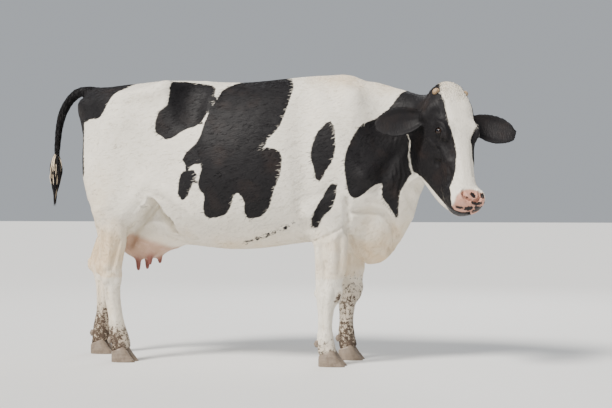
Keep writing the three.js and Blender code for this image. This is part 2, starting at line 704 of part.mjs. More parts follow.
// ---- Legs ----
const stationsOf = (name) => {
  const foot = FEET[name];
  if (name.startsWith("fore")) {
    return FORE.map(([x, z, , , back]) => [x + foot.shift * mixTo(1, 0.3, (z - 450) / 370), z, back]);
  }
  return HIND.map(([x, z, , , back, leftX]) => [foot.y < 0 ? x : leftX, z, back]);
};
const legSolids = {};
for (const name of legNames) {
  const foot = FEET[name];
  const fore = name.startsWith("fore");
  const cut = legCut(name);
  const stations = stationsOf(name);
  const fetlock = stations.reduce((best, s) =>
    Math.abs(s[1] - DEWCLAW.height) < Math.abs(best[1] - DEWCLAW.height) ? s : best,
  );
  const axis = stations
    .filter(([, z]) => z < (fore ? 690 : 740) && z > 50)
    .map(([x, z]) => [x, legY(foot, fore ? 172 : 195, 800, z), z]);
  const room = legZone(name);
  const legField = (x, y, z) => Math.max(flesh(x, y, z), room(x, y, z) - 14);
  let leg = wrap(within(legField, [hairLine(foot)], 14), axis, {
    rings: new Array(axis.length - 1).fill(1),
    around: 12,
    up: [1, 0, 0],
    domes: [2, 2],
  })
    .subtract(beyond(...facing(cut)))
    .subtract(beyond(...hairLine(foot), 0));
  for (const [side, outer] of [["inner", -Math.sign(foot.y)], ["outer", Math.sign(foot.y)]]) {
    leg = leg.subtract(dewclaw(foot, fetlock, outer, 0.5));
    addNode(`claw_${name}_${side}`, claw(foot, outer), HORN, 0.55);
    addNode(`dewclaw_${name}_${side}`, dewclaw(foot, fetlock, outer, 0), HORN, 0.55);
  }
  legSolids[name] = leg;
  addNode("leg_" + name, leg, WHITE_COAT, 0.8);
}

// ---- Udder and teats, hung between the hind legs ----
const TEATS = {
  rear: { x: -436, y: 74, bottom: 448, top: 520 },
  front: { x: -372, y: 84, bottom: 478, top: 570 },
};
function teat({ x, y, bottom, top }, side, grow) {
  const stations = [
    [x, side * y, top, 15],
    [x, side * y, top - 20, 14],
    [x, side * y, bottom + 30, 12],
    [x, side * y, bottom + 8, 11],
    [x, side * y, bottom, 6],
  ];
  return tube(stations, { rings: 4, around: 6, grow, tips: 1 });
}
let udder = wrap(
  udderField,
  [
    [-500, 0, 640],
    [-380, 0, 650],
    [-240, 0, 655],
  ],
  { rings: [2, 2], around: 12, domes: [3, 3] },
);
for (const way of [[0, 0, -GAP], [-GAP, 0, 0], [GAP, 0, 0]]) udder = udder.subtract(trunk.translate(way));
for (const leg of [legSolids.hind_right, legSolids.hind_left]) {
  for (const way of [[0, -GAP, 0], [0, GAP, 0]]) udder = udder.subtract(leg.translate(way));
}
for (const [place, size] of Object.entries(TEATS)) {
  for (const [name, side] of Object.entries(SIDES)) {
    udder = udder.subtract(teat(size, side, 0.5));
    addNode(`teat_${place}_${name}`, teat(size, side, 0), PINK_SKIN, 0.6);
  }
}
addNode("udder", udder, PINK_SKIN, 0.65);

// The origin is the middle of the base of the whole cow.
const cow = new THREE.Group();
cow.add(...nodes);
const bounds = new THREE.Box3().setFromObject(cow);
const base = bounds.getCenter(vector(0, 0, 0)).setZ(bounds.min.z);
for (const node of nodes) node.geometry.translate(-base.x, -base.y, -base.z);
export default cow;
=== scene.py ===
import math

import bpy
import numpy as np
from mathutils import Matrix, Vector
from mathutils.bvhtree import BVHTree


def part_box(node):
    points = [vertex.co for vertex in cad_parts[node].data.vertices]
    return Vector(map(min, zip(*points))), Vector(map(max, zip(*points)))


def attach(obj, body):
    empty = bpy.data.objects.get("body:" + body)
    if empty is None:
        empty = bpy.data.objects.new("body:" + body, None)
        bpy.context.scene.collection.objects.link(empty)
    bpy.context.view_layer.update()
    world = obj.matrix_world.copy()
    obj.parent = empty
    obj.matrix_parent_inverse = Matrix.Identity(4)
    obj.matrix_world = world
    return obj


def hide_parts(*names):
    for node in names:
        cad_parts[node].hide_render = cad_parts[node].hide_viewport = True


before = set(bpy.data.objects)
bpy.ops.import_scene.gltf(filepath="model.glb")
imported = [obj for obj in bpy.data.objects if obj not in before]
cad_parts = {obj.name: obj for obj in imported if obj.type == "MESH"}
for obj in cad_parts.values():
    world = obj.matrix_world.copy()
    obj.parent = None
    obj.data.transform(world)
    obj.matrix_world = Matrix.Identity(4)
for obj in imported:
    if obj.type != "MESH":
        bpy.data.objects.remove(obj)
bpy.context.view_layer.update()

# ---- Hide ----
# One hide covers the trunk, neck, head, ears, tail, legs, udder and teats of a grown dairy cow. The
# flesh is joined and remeshed into one closed surface, smoothed, and then sculpted.
GRAIN = 0.0042  # edge of the remesh
SWELL = 0.0017  # how far each piece of flesh grows, so that the cuts between them close
LEGS = ["leg_fore_right", "leg_fore_left", "leg_hind_right", "leg_hind_left"]
TEATS = ["teat_rear_right", "teat_rear_left", "teat_front_right", "teat_front_left"]
FLESH = ["trunk", "neck", "head", "tail", "ear_right", "ear_left", "udder", *LEGS, *TEATS]


def centre_of(node):
    low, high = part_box(node)
    return np.array((low + high) / 2)


# Places are given in metres from the floor under the middle of the barrel: x forward, y to the
# cow's left, z up. The right eye, which is easy to find on a cow, ties them to the frame.
STAND = centre_of("eye_right") - (1.1090, -0.3536, 1.1191)
# The head has a frame of its own at the poll: down the face, to the cow's left, and out of the face.
POLL = np.array((1.166, -0.250, 1.335))
FACE = np.array(((0.227, -0.393, -0.891), (0.817, 0.575, -0.046), (0.531, -0.717, 0.452)))
FACE_SCALE = 1.069


def to_face(p):
    return (p - POLL) @ FACE.T / FACE_SCALE


def from_face(q):
    return np.asarray(q, float) @ FACE * FACE_SCALE + POLL


def deselect():
    bpy.ops.object.select_all(action="DESELECT")


def activate(obj):
    deselect()
    obj.select_set(True)
    bpy.context.view_layer.objects.active = obj


def apply_modifier(obj, kind, **settings):
    activate(obj)
    modifier = obj.modifiers.new(kind.title(), kind)
    for key, value in settings.items():
        setattr(modifier, key, value)
    bpy.ops.object.modifier_apply(modifier=modifier.name)


def copy_of(nodes, name):
    """A copy of each CAD node, with the loose corners of its mesh merged."""
    copies = []
    for node in nodes:
        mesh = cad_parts[node].data.copy()
        mesh.materials.clear()
        made = bpy.data.objects.new(name, mesh)
        bpy.context.scene.collection.objects.link(made)
        activate(made)
        bpy.ops.object.mode_set(mode="EDIT")
        bpy.ops.mesh.select_all(action="SELECT")
        bpy.ops.mesh.remove_doubles(threshold=1e-5)
        bpy.ops.object.mode_set(mode="OBJECT")
        copies.append(made)
    return copies


def points_of(obj):
    flat = np.empty(3 * len(obj.data.vertices))
    obj.data.vertices.foreach_get("co", flat)
    return flat.reshape(-1, 3)


def put_points(obj, points):
    obj.data.vertices.foreach_set("co", points.ravel())
    obj.data.update()


def normals_of(obj):
    flat = np.empty(3 * len(obj.data.vertices))
    obj.data.vertex_normals.foreach_get("vector", flat)
    return flat.reshape(-1, 3)


def edges_of(obj):
    flat = np.empty(2 * len(obj.data.edges), np.int32)
    obj.data.edges.foreach_get("vertices", flat)
    return flat.reshape(-1, 2)


def neighbour_mean(values, edges):
    """The mean of each vertex's neighbours."""
    count = len(values)
    a, b = edges.T
    share = np.bincount(a, minlength=count) + np.bincount(b, minlength=count)
    share = np.maximum(share, 1)
    if values.ndim == 1:
        return (np.bincount(a, values[b], count) + np.bincount(b, values[a], count)) / share
    columns = [np.bincount(a, c[b], count) + np.bincount(b, c[a], count) for c in values.T]
    return np.stack(columns, 1) / share[:, None]


def soften(points, edges, weight, rounds):
    for _ in range(rounds):
        points = points + weight[:, None] * (neighbour_mean(points, edges) - points)
    return points


def ramp(value, low, high):
    """0 below low, 1 above high, smooth between them."""
    t = np.clip((value - low) / (high - low), 0, 1)
    return t * t * (3 - 2 * t)


copies = copy_of(FLESH, "hide")
for copied in copies:
    apply_modifier(copied, "DISPLACE", strength=SWELL, mid_level=0)
# The flesh goes on through the cuts: (middle, radii, turn about the vertical in degrees).
FILLING = [
    ((0.953, -0.051, 1.060), (0.050, 0.100, 0.260), -24),
    ((0.948, -0.063, 0.835), (0.042, 0.046, 0.046), -24),
    ((-0.545, -0.170, 0.710), (0.099, 0.080, 0.120), 0),
    ((-0.606, 0.172, 0.715), (0.099, 0.080, 0.120), 0),
    ((0.563, -0.165, 0.660), (0.088, 0.070, 0.110), 0),
    ((0.603, 0.165, 0.660), (0.086, 0.066, 0.110), 0),
]
for middle, radii, turn in FILLING:
    deselect()
    spin = (0, 0, math.radians(turn))
    bpy.ops.mesh.primitive_uv_sphere_add(
        segments=32, ring_count=20, radius=1, location=middle + STAND, rotation=spin, scale=radii
    )
    bpy.ops.object.transform_apply(location=True, rotation=True, scale=True)
    copies.append(bpy.context.object)
deselect()
for copied in copies:
    copied.select_set(True)
hide = copies[0]
bpy.context.view_layer.objects.active = hide
bpy.ops.object.join()
apply_modifier(hide, "REMESH", mode="VOXEL", voxel_size=GRAIN)

points = points_of(hide) - STAND
edges = edges_of(hide)
points = soften(points, edges, np.full(len(points), 0.5), 4)
put_points(hide, points)
NECK_END, NECK_WAY = (0.958, -0.04, 1.10), (0.91, -0.41, 0)


def ahead_of_neck(p):
    return (p - NECK_END) @ NECK_WAY


# The head and ears keep all their faces, and the rest keeps fewer where it is flat.
coarse = (ahead_of_neck(points) < -0.03) | (points[:, 2] < 0.7)
group = hide.vertex_groups.new(name="coarse")
group.add(np.nonzero(coarse)[0].tolist(), 1.0, "REPLACE")
apply_modifier(hide, "DECIMATE", ratio=0.2, vertex_group="coarse", vertex_group_factor=1.0)
hide.vertex_groups.clear()

points = points_of(hide)
edges = edges_of(hide)
# Which piece of flesh each point came from, spread into soft masks.
trees = {}
for node in FLESH:
    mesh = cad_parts[node].data
    corners = [Vector(np.array(v.co) - STAND) for v in mesh.vertices]
    trees[node] = BVHTree.FromPolygons(corners, [p.vertices[:] for p in mesh.polygons])
GROUPS = {
    "head": ["head"],
    "ear": ["ear_right", "ear_left"],
    "tail": ["tail"],
    "leg": LEGS,
    "udder": ["udder"],
    "teat": TEATS,
}


def near_nodes(points, nodes, reach):
    """Which points lie within reach of the surface of one of the nodes."""
    found = np.zeros(len(points), bool)
    low = np.min([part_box(n)[0] for n in nodes], 0) - STAND - reach
    high = np.max([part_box(n)[1] for n in nodes], 0) - STAND + reach
    for i in np.nonzero(((points > low) & (points < high)).all(1))[0]:
        spot = Vector(points[i])
        found[i] = any(trees[n].find_nearest(spot, reach)[0] is not None for n in nodes)
    return found


def spread(mask, rounds):
    mask = mask.astype(float)
    for _ in range(rounds):
        mask = 0.5 * mask + 0.5 * neighbour_mean(mask, edges)
    return mask


zone = {name: near_nodes(points, nodes, 0.006) for name, nodes in GROUPS.items()}
zone["ear"] &= np.abs(to_face(points)[:, 1]) > 0.085
zone["head"] &= ~zone["ear"]
zone["leg"] &= ~near_nodes(points, ["udder"], 0.003)
soft = {name: spread(mask, 8) for name, mask in zone.items()}
# The smoothing takes off the facets of the flesh. It is gentler where the forms are small.
SMOOTHING = {"leg": 0.6, "head": 0.5, "udder": 0.5, "tail": 0.4, "ear": 0.06, "teat": 0.1}
loose = np.full(len(points), 0.9)
for name, share in SMOOTHING.items():
    loose = loose * (1 - soft[name]) + share * soft[name]
loose *= 1 - 0.7 * soft["leg"] * (1 - ramp(points[:, 2], 0.10, 0.18))
points = soften(points, edges, loose, 24)
# Across the cuts the surface is smoothed again.
CUTS = [(["trunk"], LEGS, 0.032), (["neck"], ["head"], 0.016), (["trunk"], ["neck"], 0.014)]
seam = np.zeros(len(points), bool)
for first, second, reach in CUTS:
    seam |= near_nodes(points, first, reach) & near_nodes(points, second, reach)
seam_weight = spread(seam & ~zone["ear"], 10)
points = soften(points, edges, np.clip(seam_weight * 1.4, 0, 0.95), 45)
put_points(hide, points)

# ---- Forms under the hide ----
# Bones, muscles, tendons, veins and folds show through the skin. Each is a stroke along the surface
# that raises it, or sinks it, and fades out at its width.
def save_values(obj, name, values):
    attribute = obj.data.attributes.get(name) or obj.data.attributes.new(name, "FLOAT", "POINT")
    attribute.data.foreach_set("value", np.asarray(values, np.float32))


def read_values(obj, name):
    flat = np.empty(len(obj.data.vertices), np.float32)
    obj.data.attributes[name].data.foreach_get("value", flat)
    return flat.astype(float)


def select_faces(obj, chosen):
    """Leaves an object in edit mode with the chosen faces selected."""
    activate(obj)
    bpy.ops.object.mode_set(mode="EDIT")
    bpy.ops.mesh.select_mode(type="FACE")
    bpy.ops.mesh.select_all(action="DESELECT")
    bpy.ops.object.mode_set(mode="OBJECT")
    obj.data.polygons.foreach_set("select", chosen)
    bpy.ops.object.mode_set(mode="EDIT")


for name, values in soft.items():
    save_values(hide, "zone_" + name, values)
# The eyes, muzzle and the line of flecks on the belly take finer faces: (place, reach, times).
MUZZLE = from_face((0.515, 0, -0.10))
EYES = {side: from_face((0.206, sign * 0.090, -0.050)) for side, sign in (("right", -1), ("left", 1))}
EYE_SIZE = 0.020
FINE = [(MUZZLE, 0.085, 1), (EYES["right"], 0.046, 2), (EYES["left"], 0.046, 2)]
FINE += [((x, -0.20, 0.53 + 0.32 * x), 0.035, 2) for x in (0.16, 0.21, 0.26, 0.31, 0.36, 0.40)]
# So do the edges of the groin, where the udder shows between the thigh and the fold of the flank.
FOLD = [(-0.305, 0.830), (-0.262, 0.775), (-0.214, 0.709), (-0.190, 0.650), (-0.165, 0.59)]
THIGH = [(-0.485, 0.575), (-0.446, 0.668), (-0.402, 0.716), (-0.357, 0.762)]
GROIN = [*FOLD, (-0.17, 0.48), (-0.52, 0.48), *THIGH]
for x, z in (*FOLD, *THIGH):
    FINE += [((x, side * (0.04 + 0.31 * (z - 0.02)), z), 0.062, 1) for side in (-1, 1)]
# So does the edge of the brisket.
BRISKET = [(0.690, 0.745), (0.752, 0.752), (0.815, 0.735), (0.858, 0.690), (0.872, 0.62), (0.840, 0.555)]
for x, z in BRISKET:
    FINE += [((x, side * 0.14 - 0.02, z), 0.060, 1) for side in (-1, 1)]
# The knees, forearms, shins and hocks have tendons and creases.
JOINTS = [(0.565, -0.19, 0.58), (0.565, -0.19, 0.42), (0.605, 0.19, 0.45), (-0.56, -0.19, 0.56),
          (-0.57, -0.19, 0.41), (-0.70, 0.19, 0.46)]
FINE += [(joint, 0.105, 1) for joint in JOINTS]
for place, reach, times in FINE:
    for _ in range(times):
        flat = np.empty(3 * len(hide.data.polygons))
        hide.data.polygons.foreach_get("center", flat)
        select_faces(hide, np.linalg.norm(flat.reshape(-1, 3) - place, axis=1) < reach)
        bpy.ops.mesh.subdivide(number_cuts=1)
        bpy.ops.object.mode_set(mode="OBJECT")
points = points_of(hide)
edges = edges_of(hide)
zone = {name: read_values(hide, "zone_" + name) for name in soft}
faces = [p.vertices[:] for p in hide.data.polygons]
inside = BVHTree.FromPolygons([Vector(p) for p in points], faces)
normals = normals_of(hide)


def out_to_skin(start, way):
    """Where a ray from inside the body leaves the skin."""
    hit = inside.ray_cast(Vector(start), Vector(way).normalized())[0]
    return np.array(hit) if hit is not None else None


def distance_to(spots, path):
    """How far places are from a line of straight stretches, or from a single point."""
    path = np.asarray(path, float)
    if len(path) == 1:
        return np.linalg.norm(spots - path[0], axis=1)
    best = np.full(len(spots), 1e9)
    for a, b in zip(path[:-1], path[1:]):
        t = np.clip((spots - a) @ (b - a) / max((b - a) @ (b - a), 1e-12), 0, 1)
        best = np.minimum(best, np.linalg.norm(spots - a - t[:, None] * (b - a), axis=1))
    return best


def inside_outline(spots, outline, rounds=1):
    """Signed distance to a closed outline with its corners cut off, positive inside it."""
    path = np.array(outline, float)
    for _ in range(rounds):
        ahead = np.roll(path, -1, 0)
        path = np.stack([0.8 * path + 0.2 * ahead, 0.2 * path + 0.8 * ahead], 1).reshape(-1, 2)
    ends = np.roll(path, -1, 0)
    near = np.full(len(spots), 1e9)
    crossings = np.zeros(len(spots), int)
    u, v = spots.T
    for (ax, ay), (bx, by) in zip(path, ends):
        dx, dy = bx - ax, by - ay
        t = np.clip(((u - ax) * dx + (v - ay) * dy) / (dx * dx + dy * dy + 1e-12), 0, 1)
        near = np.minimum(near, np.hypot(u - ax - t * dx, v - ay - t * dy))
        if ay != by:
            crossings += ((ay > v) != (by > v)) & (u < dx * (v - ay) / dy + ax)
    return np.where(crossings % 2, near, -near)


def stroke(path, width, height):
    """Raises the skin along a path, or sinks it where height is below 0. Points off the skin are None."""
    path = np.array([p for p in path if p is not None], float)
    if not len(path):
        return
    box = ((points > path.min(0) - width) & (points < path.max(0) + width)).all(1)
    chosen = np.nonzero(box)[0]
    fade = 1 - np.clip(distance_to(points[chosen], path) / width, 0, 1) ** 2
    points[chosen] += normals[chosen] * (height * fade**2)[:, None]


def flank(x, z, side):
    """A point of the trunk's skin at x and z, on the right for side -1 and the left for side 1."""
    return out_to_skin((x, 0.0, z), (0, side, 0))


def outer(x, z, side):
    """A point of the outer side of the body or a leg, met from beside the cow."""
    return out_to_skin((x, 0.7 * side, z), (0, -side, 0))


# The groin lies back from the thigh and the flank, and the udder's fore quarter rounds out in it. Its
# bed, the distance of its skin from the middle of the cow, is deepest by the thigh and under the fold.
BY_THIGH = [(-0.292, 0.815), (-0.342, 0.752), (-0.386, 0.706), (-0.430, 0.658), (-0.468, 0.57)]
UNDER_FOLD = [(-0.292, 0.815), (-0.262, 0.758), (-0.222, 0.702), (-0.200, 0.650)]
for side in (-1, 1):
    wide = side * points[:, 1]
    spots = points[:, [0, 2]] + np.stack([0.004 * np.sin(70 * points[:, 2]), 0 * wide], 1)
    within = inside_outline(spots, GROIN, 2)
    wall = ramp(within, -0.002, 0.018) * (wide > 0.05) * (zone["leg"] < 0.6)
    round_x, round_z = (points[:, 0] + 0.305) / 0.075, (points[:, 2] - 0.665) / 0.085
    bed = 0.150 + 0.052 * np.exp(-(round_x**2) - round_z**2) + 0.075 * ramp(points[:, 2], 0.70, 0.83)
    bed = np.minimum(bed, 0.165 + 0.5 * np.clip(points[:, 2] - 0.50, 0, 1))
    bed = bed - 0.045 * (1 - ramp(distance_to(spots, BY_THIGH), 0.006, 0.042))
    bed = bed - 0.022 * (1 - ramp(distance_to(spots, UNDER_FOLD), 0.006, 0.036))
    points[:, 1] -= side * wall * np.clip(wide - bed, 0, 0.13)
    lip = np.exp(-((within / 0.020) ** 2)) * (within < 0.004) * (points[:, 2] > 0.60) * (wide > 0.05)
    points[:, 1] += side * 0.010 * lip * (zone["leg"] < 0.6)
put_points(hide, points)
inside = BVHTree.FromPolygons([Vector(p) for p in points], faces)
normals = normals_of(hide)

# (path of x and z on the flank, width, height), on both sides
TRUNK_FORMS = [
    ([(-0.245, 1.368)], 0.065, 0.017),  # hook bone
    ([(-0.215, 1.365), (-0.15, 1.378), (-0.06, 1.385)], 0.040, 0.009),  # edge of the loin
    ([(-0.14, 1.30), (-0.10, 1.21)], 0.11, -0.022),  # hollow of the flank
    ([(-0.01, 1.32), (-0.035, 1.18), (0.0, 1.02), (0.06, 0.88)], 0.050, 0.010),  # last rib
    ([(-0.26, 1.355), (-0.42, 1.33), (-0.60, 1.31), (-0.72, 1.29)], 0.060, 0.011),  # hook to pin
    ([(-0.33, 1.25), (-0.40, 1.27)], 0.085, -0.014),  # between hook and thurl
    ([(-0.60, 1.20), (-0.655, 1.04)], 0.080, -0.014),  # behind the thurl
    ([(-0.46, 1.20)], 0.09, 0.014),  # thurl
    ([(-0.61, 1.12), (-0.625, 0.96), (-0.60, 0.80), (-0.585, 0.70)], 0.040, -0.013),  # thigh muscles
    ([(-0.47, 1.06), (-0.44, 0.95), (-0.42, 0.87)], 0.045, -0.007),  # before the thigh muscle
    ([(-0.34, 0.88)], 0.085, 0.017),  # stifle
    ([(-0.40, 0.80), (-0.46, 0.73)], 0.060, 0.010),  # below the stifle
    ([(-0.27, 0.86), (-0.22, 0.84), (-0.15, 0.78), (-0.09, 0.72)], 0.040, 0.010),  # fold of the flank
    ([(-0.21, 0.97), (-0.17, 0.89)], 0.060, -0.014),  # hollow over the fold
    ([(0.50, 1.33), (0.56, 1.18), (0.64, 1.02), (0.72, 0.92)], 0.060, 0.011),  # shoulder blade
    ([(0.43, 1.25), (0.44, 1.05), (0.46, 0.86)], 0.080, -0.015),  # behind the shoulder
    ([(0.475, 0.73)], 0.055, 0.016),  # elbow
    ([(0.455, 0.66), (0.43, 0.72), (0.425, 0.80)], 0.030, -0.012),  # behind the elbow
    ([(0.46, 0.80), (0.53, 0.83), (0.60, 0.87), (0.68, 0.87)], 0.035, -0.009),  # over the upper arm
    ([(0.655, 0.80), (0.662, 0.74), (0.652, 0.66), (0.645, 0.58)], 0.026, -0.022),  # arm and brisket
    ([(0.75, 0.915)], 0.080, 0.016),  # point of the shoulder
    ([(0.93, 1.08), (0.85, 0.97), (0.79, 0.86)], 0.050, -0.015),  # furrow of the neck
    ([(0.762, 0.625)], 0.115, 0.016),  # the brisket hangs in a bag
    (BRISKET, 0.026, -0.019),  # edge of the brisket
    ([(0.75, 0.80), (0.80, 0.79), (0.85, 0.76)], 0.020, -0.005),
    ([(0.915, 0.93), (0.895, 0.84), (0.865, 0.76)], 0.014, -0.004),  # folds of the dewlap
    ([(0.885, 0.92), (0.865, 0.83), (0.84, 0.76)], 0.014, -0.003),
    ([(-0.22, 0.615), (-0.13, 0.600), (-0.05, 0.592), (0.04, 0.575), (0.12, 0.585), (0.22, 0.605)],
     0.016, 0.008),
    ([(0.22, 0.605), (0.30, 0.64), (0.36, 0.65)], 0.013, 0.005),  # milk vein
    ([(-0.33, 0.70), (-0.30, 0.665), (-0.31, 0.63), (-0.27, 0.605)], 0.009, 0.004),  # udder veins
    ([(-0.40, 0.64), (-0.36, 0.62), (-0.345, 0.585)], 0.008, 0.003),
    ([(-0.395, 0.66), (-0.40, 0.60), (-0.405, 0.545)], 0.022, -0.006),  # between the quarters
]
for rib in range(1, 6):
    x = -0.01 + 0.085 * rib
    TRUNK_FORMS.append(([(x + 0.01, 1.24), (x - 0.02, 1.10), (x + 0.02, 0.92)], 0.030, 0.0022))
for path, width, height in TRUNK_FORMS:
    for side in (-1, 1):
        stroke([flank(x, z, side) for x, z in path], width, height)
# The skin of the neck is drawn into fine upright folds where the head turns back along it.
for fold in range(13):
    x = 0.685 + 0.0205 * fold
    path = [(x + 0.014, 1.19 - 0.006 * fold), (x, 1.08), (x - 0.006, 0.99), (x + 0.004, 0.91)]
    stroke([flank(px, pz, -1) for px, pz in path], 0.010, -0.0028)
for fold in range(5):
    x = 0.74 + 0.045 * fold
    stroke([flank(px, pz, 1) for px, pz in ((x, 1.15), (x - 0.01, 1.0))], 0.012, -0.0015)
normals = normals_of(hide)
# The spine, and the hollows beside the tail head.
for step in range(17):
    top = out_to_skin((-0.64 + 0.056 * step, 0, 1.2), (0, 0, 1))
    stroke([top], 0.026, 0.0022)
for side in (-1, 1):
    stroke([out_to_skin((-0.68, 0.062 * side, 1.25), (0, 0.2 * side, 1))], 0.045, -0.010)
    beside_spine = [out_to_skin((x, 0.035 * side, 1.25), (0, 0, 1)) for x in (-0.55, -0.35, -0.1, 0.1)]
    stroke(beside_spine, 0.022, -0.002)
# The udder is parted in the middle.
stroke([out_to_skin((-0.40, 0, z), (-1, 0, 0)) for z in (0.70, 0.64, 0.58, 0.54)], 0.022, -0.012)
stroke([out_to_skin((x, 0, 0.62), (0, 0, -1)) for x in (-0.46, -0.38, -0.30, -0.22)], 0.022, -0.010)
# Muscles and creases of the upper legs, seen from beside: (path, width, height).
LEG_FORMS = [
    ([(0.490, 0.605), (0.555, 0.628), (0.635, 0.675)], 0.013, -0.007),  # crease under the elbow
    ([(0.500, 0.585), (0.550, 0.598), (0.600, 0.625)], 0.012, 0.004),
    ([(0.530, 0.590), (0.535, 0.53), (0.545, 0.47)], 0.018, -0.008),  # between the forearm muscles
    ([(0.585, 0.60), (0.588, 0.54), (0.585, 0.47)], 0.030, 0.007),
    ([(0.620, 0.62), (0.622, 0.55), (0.610, 0.46)], 0.018, -0.005),
    ([(0.505, 0.56), (0.508, 0.50)], 0.024, 0.006),
    ([(-0.600, 0.66), (-0.585, 0.58), (-0.585, 0.51)], 0.020, -0.010),  # before the great tendon
    ([(-0.530, 0.66), (-0.545, 0.57), (-0.560, 0.47)], 0.032, 0.008),  # shin
    ([(-0.490, 0.60), (-0.510, 0.52), (-0.530, 0.46)], 0.020, -0.006),
    ([(-0.566, 0.408)], 0.030, 0.010),  # knob of the hock
    ([(-0.590, 0.375), (-0.585, 0.33)], 0.022, -0.007),
]
for path, width, height in LEG_FORMS:
    for side in (-1, 1):
        shift = 0 if side < 0 else (0.040 if path[0][0] > 0 else -0.135)
        stroke([outer(x + shift, z, side) for x, z in path], width, height)


def leg_core(node, z):
    """The middle of a leg at height z."""
    low, high = (np.array(corner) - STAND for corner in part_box(node))
    slab = (points > (*low[:2], z - 0.01)) & (points < (*high[:2], z + 0.01))
    ring = points[slab.all(1) & (zone["leg"] > 0.4)]
    return (ring.min(0) + ring.max(0)) / 2


def on_leg(node, side, back, z):
    """A point on the inner or outer side of a leg, some way behind its middle."""
    x, y, _ = leg_core(node, z)
    return out_to_skin((x - back, y, z), (0, side, 0))


def along_leg(node, way, z):
    """A point on the back of a leg for way -1, and on its front for way 1."""
    x, y, _ = leg_core(node, z)
    return out_to_skin((x, y, z), (way, 0, 0))


def shank(top, bottom):
    """Tendons behind the cannon bone, and the knobs of the fetlock."""
    heights = np.linspace(top, bottom, 4)
    return [
        ([(0.010, z) for z in heights], 0.013, -0.0075),
        ([(-0.012, z) for z in heights], 0.018, 0.003),
        ([(0.004, 0.130)], 0.032, 0.007),
        ([(0.000, 0.088)], 0.026, -0.004),
    ]


# (path of distance behind the middle and height, width, height of the form)
BESIDE_LEG = {
    "hind": [
        *shank(0.36, 0.19),
        ([(0.020, z) for z in (0.64, 0.58, 0.53, 0.495)], 0.026, -0.009),  # before the tendon of the hock
        ([(-0.012, 0.435), (-0.004, 0.405)], 0.030, 0.004),  # knobs of the hock
    ],
    "fore": [
        *shank(0.27, 0.17),
        ([(-0.012, 0.360), (-0.010, 0.310)], 0.030, 0.008),  # knee
        ([(0.020, 0.335)], 0.020, 0.005),
        ([(0.004, 0.345), (0.006, 0.30)], 0.010, -0.004),
        ([(0.016, z) for z in (0.50, 0.45, 0.40)], 0.020, -0.006),
    ],
}
# (back or front, heights, width, height of the form)
ALONG_LEG = {
    "hind": [(-1, (0.480, 0.455), 0.030, 0.014), (-1, (0.40, 0.34, 0.28, 0.22), 0.040, -0.009),
             (1, (0.43, 0.40), 0.036, 0.007)],
    "fore": [(1, (0.360, 0.325), 0.040, 0.012), (-1, (0.350,), 0.024, 0.011),
             (1, (0.27, 0.22, 0.18), 0.034, -0.006), (1, (0.60, 0.53, 0.47), 0.045, 0.008)],
}
PASTERN = [(-1, (0.15, 0.135), 0.022, 0.004), (1, (0.085,), 0.022, -0.003)]
for node in LEGS:
    end = node.split("_")[1]
    for side in (-1, 1):
        for path, width, height in BESIDE_LEG[end]:
            stroke([on_leg(node, side, back, z) for back, z in path], width, height)
    for way, heights, width, height in ALONG_LEG[end] + PASTERN:
        stroke([along_leg(node, way, z) for z in heights], width, height)
    # the skin swells round the roots of the dewclaws
    for part in ("inner", "outer"):
        spot = centre_of(node.replace("leg", "dewclaw") + "_" + part) - STAND
        core = leg_core(node, spot[2])
        stroke([out_to_skin(core, spot - core)], 0.024, 0.012)


# The head. Places are (metres down the face, degrees round from its front), seen from a line inside it.
HEAD_AXIS = 0.09  # depth of that line behind the face


def on_head(s, degrees, side):
    turn = math.radians(degrees)
    start = from_face((s, 0, -HEAD_AXIS))
    return out_to_skin(start, from_face((s, side * math.sin(turn), math.cos(turn) - HEAD_AXIS)) - start)


HEAD_FORMS = [
    ([(0.115, 66), (0.14, 74)], 0.034, -0.006),  # temple
    ([(0.160, 62), (0.185, 50), (0.22, 47), (0.25, 54)], 0.018, 0.0075),  # brow
    ([(0.255, 92), (0.235, 108), (0.20, 116)], 0.018, 0.004),  # under the eye
    ([(0.150, 66), (0.175, 54)], 0.010, -0.002),
    ([(0.250, 84), (0.29, 82), (0.34, 80)], 0.026, 0.005),  # ridge of the cheekbone
    ([(0.255, 66), (0.285, 60), (0.32, 58)], 0.026, -0.004),  # under the inner corner
    ([(0.262, 98), (0.300, 108), (0.312, 122), (0.30, 136)], 0.026, -0.010),  # front of the jaw muscle
    ([(0.16, 110), (0.20, 118), (0.24, 128)], 0.055, 0.007),  # jaw muscle
    ([(0.345, 84), (0.385, 92), (0.415, 104), (0.425, 118)], 0.014, -0.0065),  # folds of the cheek
    ([(0.325, 94), (0.36, 104), (0.385, 118)], 0.014, -0.005),
    ([(0.345, 93), (0.38, 100), (0.405, 112)], 0.013, 0.0045),
    ([(0.38, 80), (0.42, 86), (0.445, 98)], 0.012, -0.004),
    ([(0.25, 34), (0.33, 37), (0.41, 44)], 0.018, -0.0025),  # side of the nose bone
    ([(0.10, 98), (0.085, 112)], 0.036, 0.006),  # root of the ear
    ([(0.05, 80), (0.08, 86)], 0.020, -0.004),
]
for path, width, height in HEAD_FORMS:
    for side in (-1, 1):
        stroke([on_head(s, degrees, side) for s, degrees in path], width, height)
stroke([on_head(0.08, 0, 1), on_head(0.16, 0, 1)], 0.045, -0.003)

# The muzzle, seen from a point inside it: places are in the head's own frame.
CORE = (0.44, 0, -0.11)


def on_muzzle(place):
    start = from_face(CORE)
    return out_to_skin(start, from_face(place) - start)


def sided(path, side):
    """A path of the cow's left side, on the right for side -1."""
    return [(s, side * w, n) for s, w, n in path]


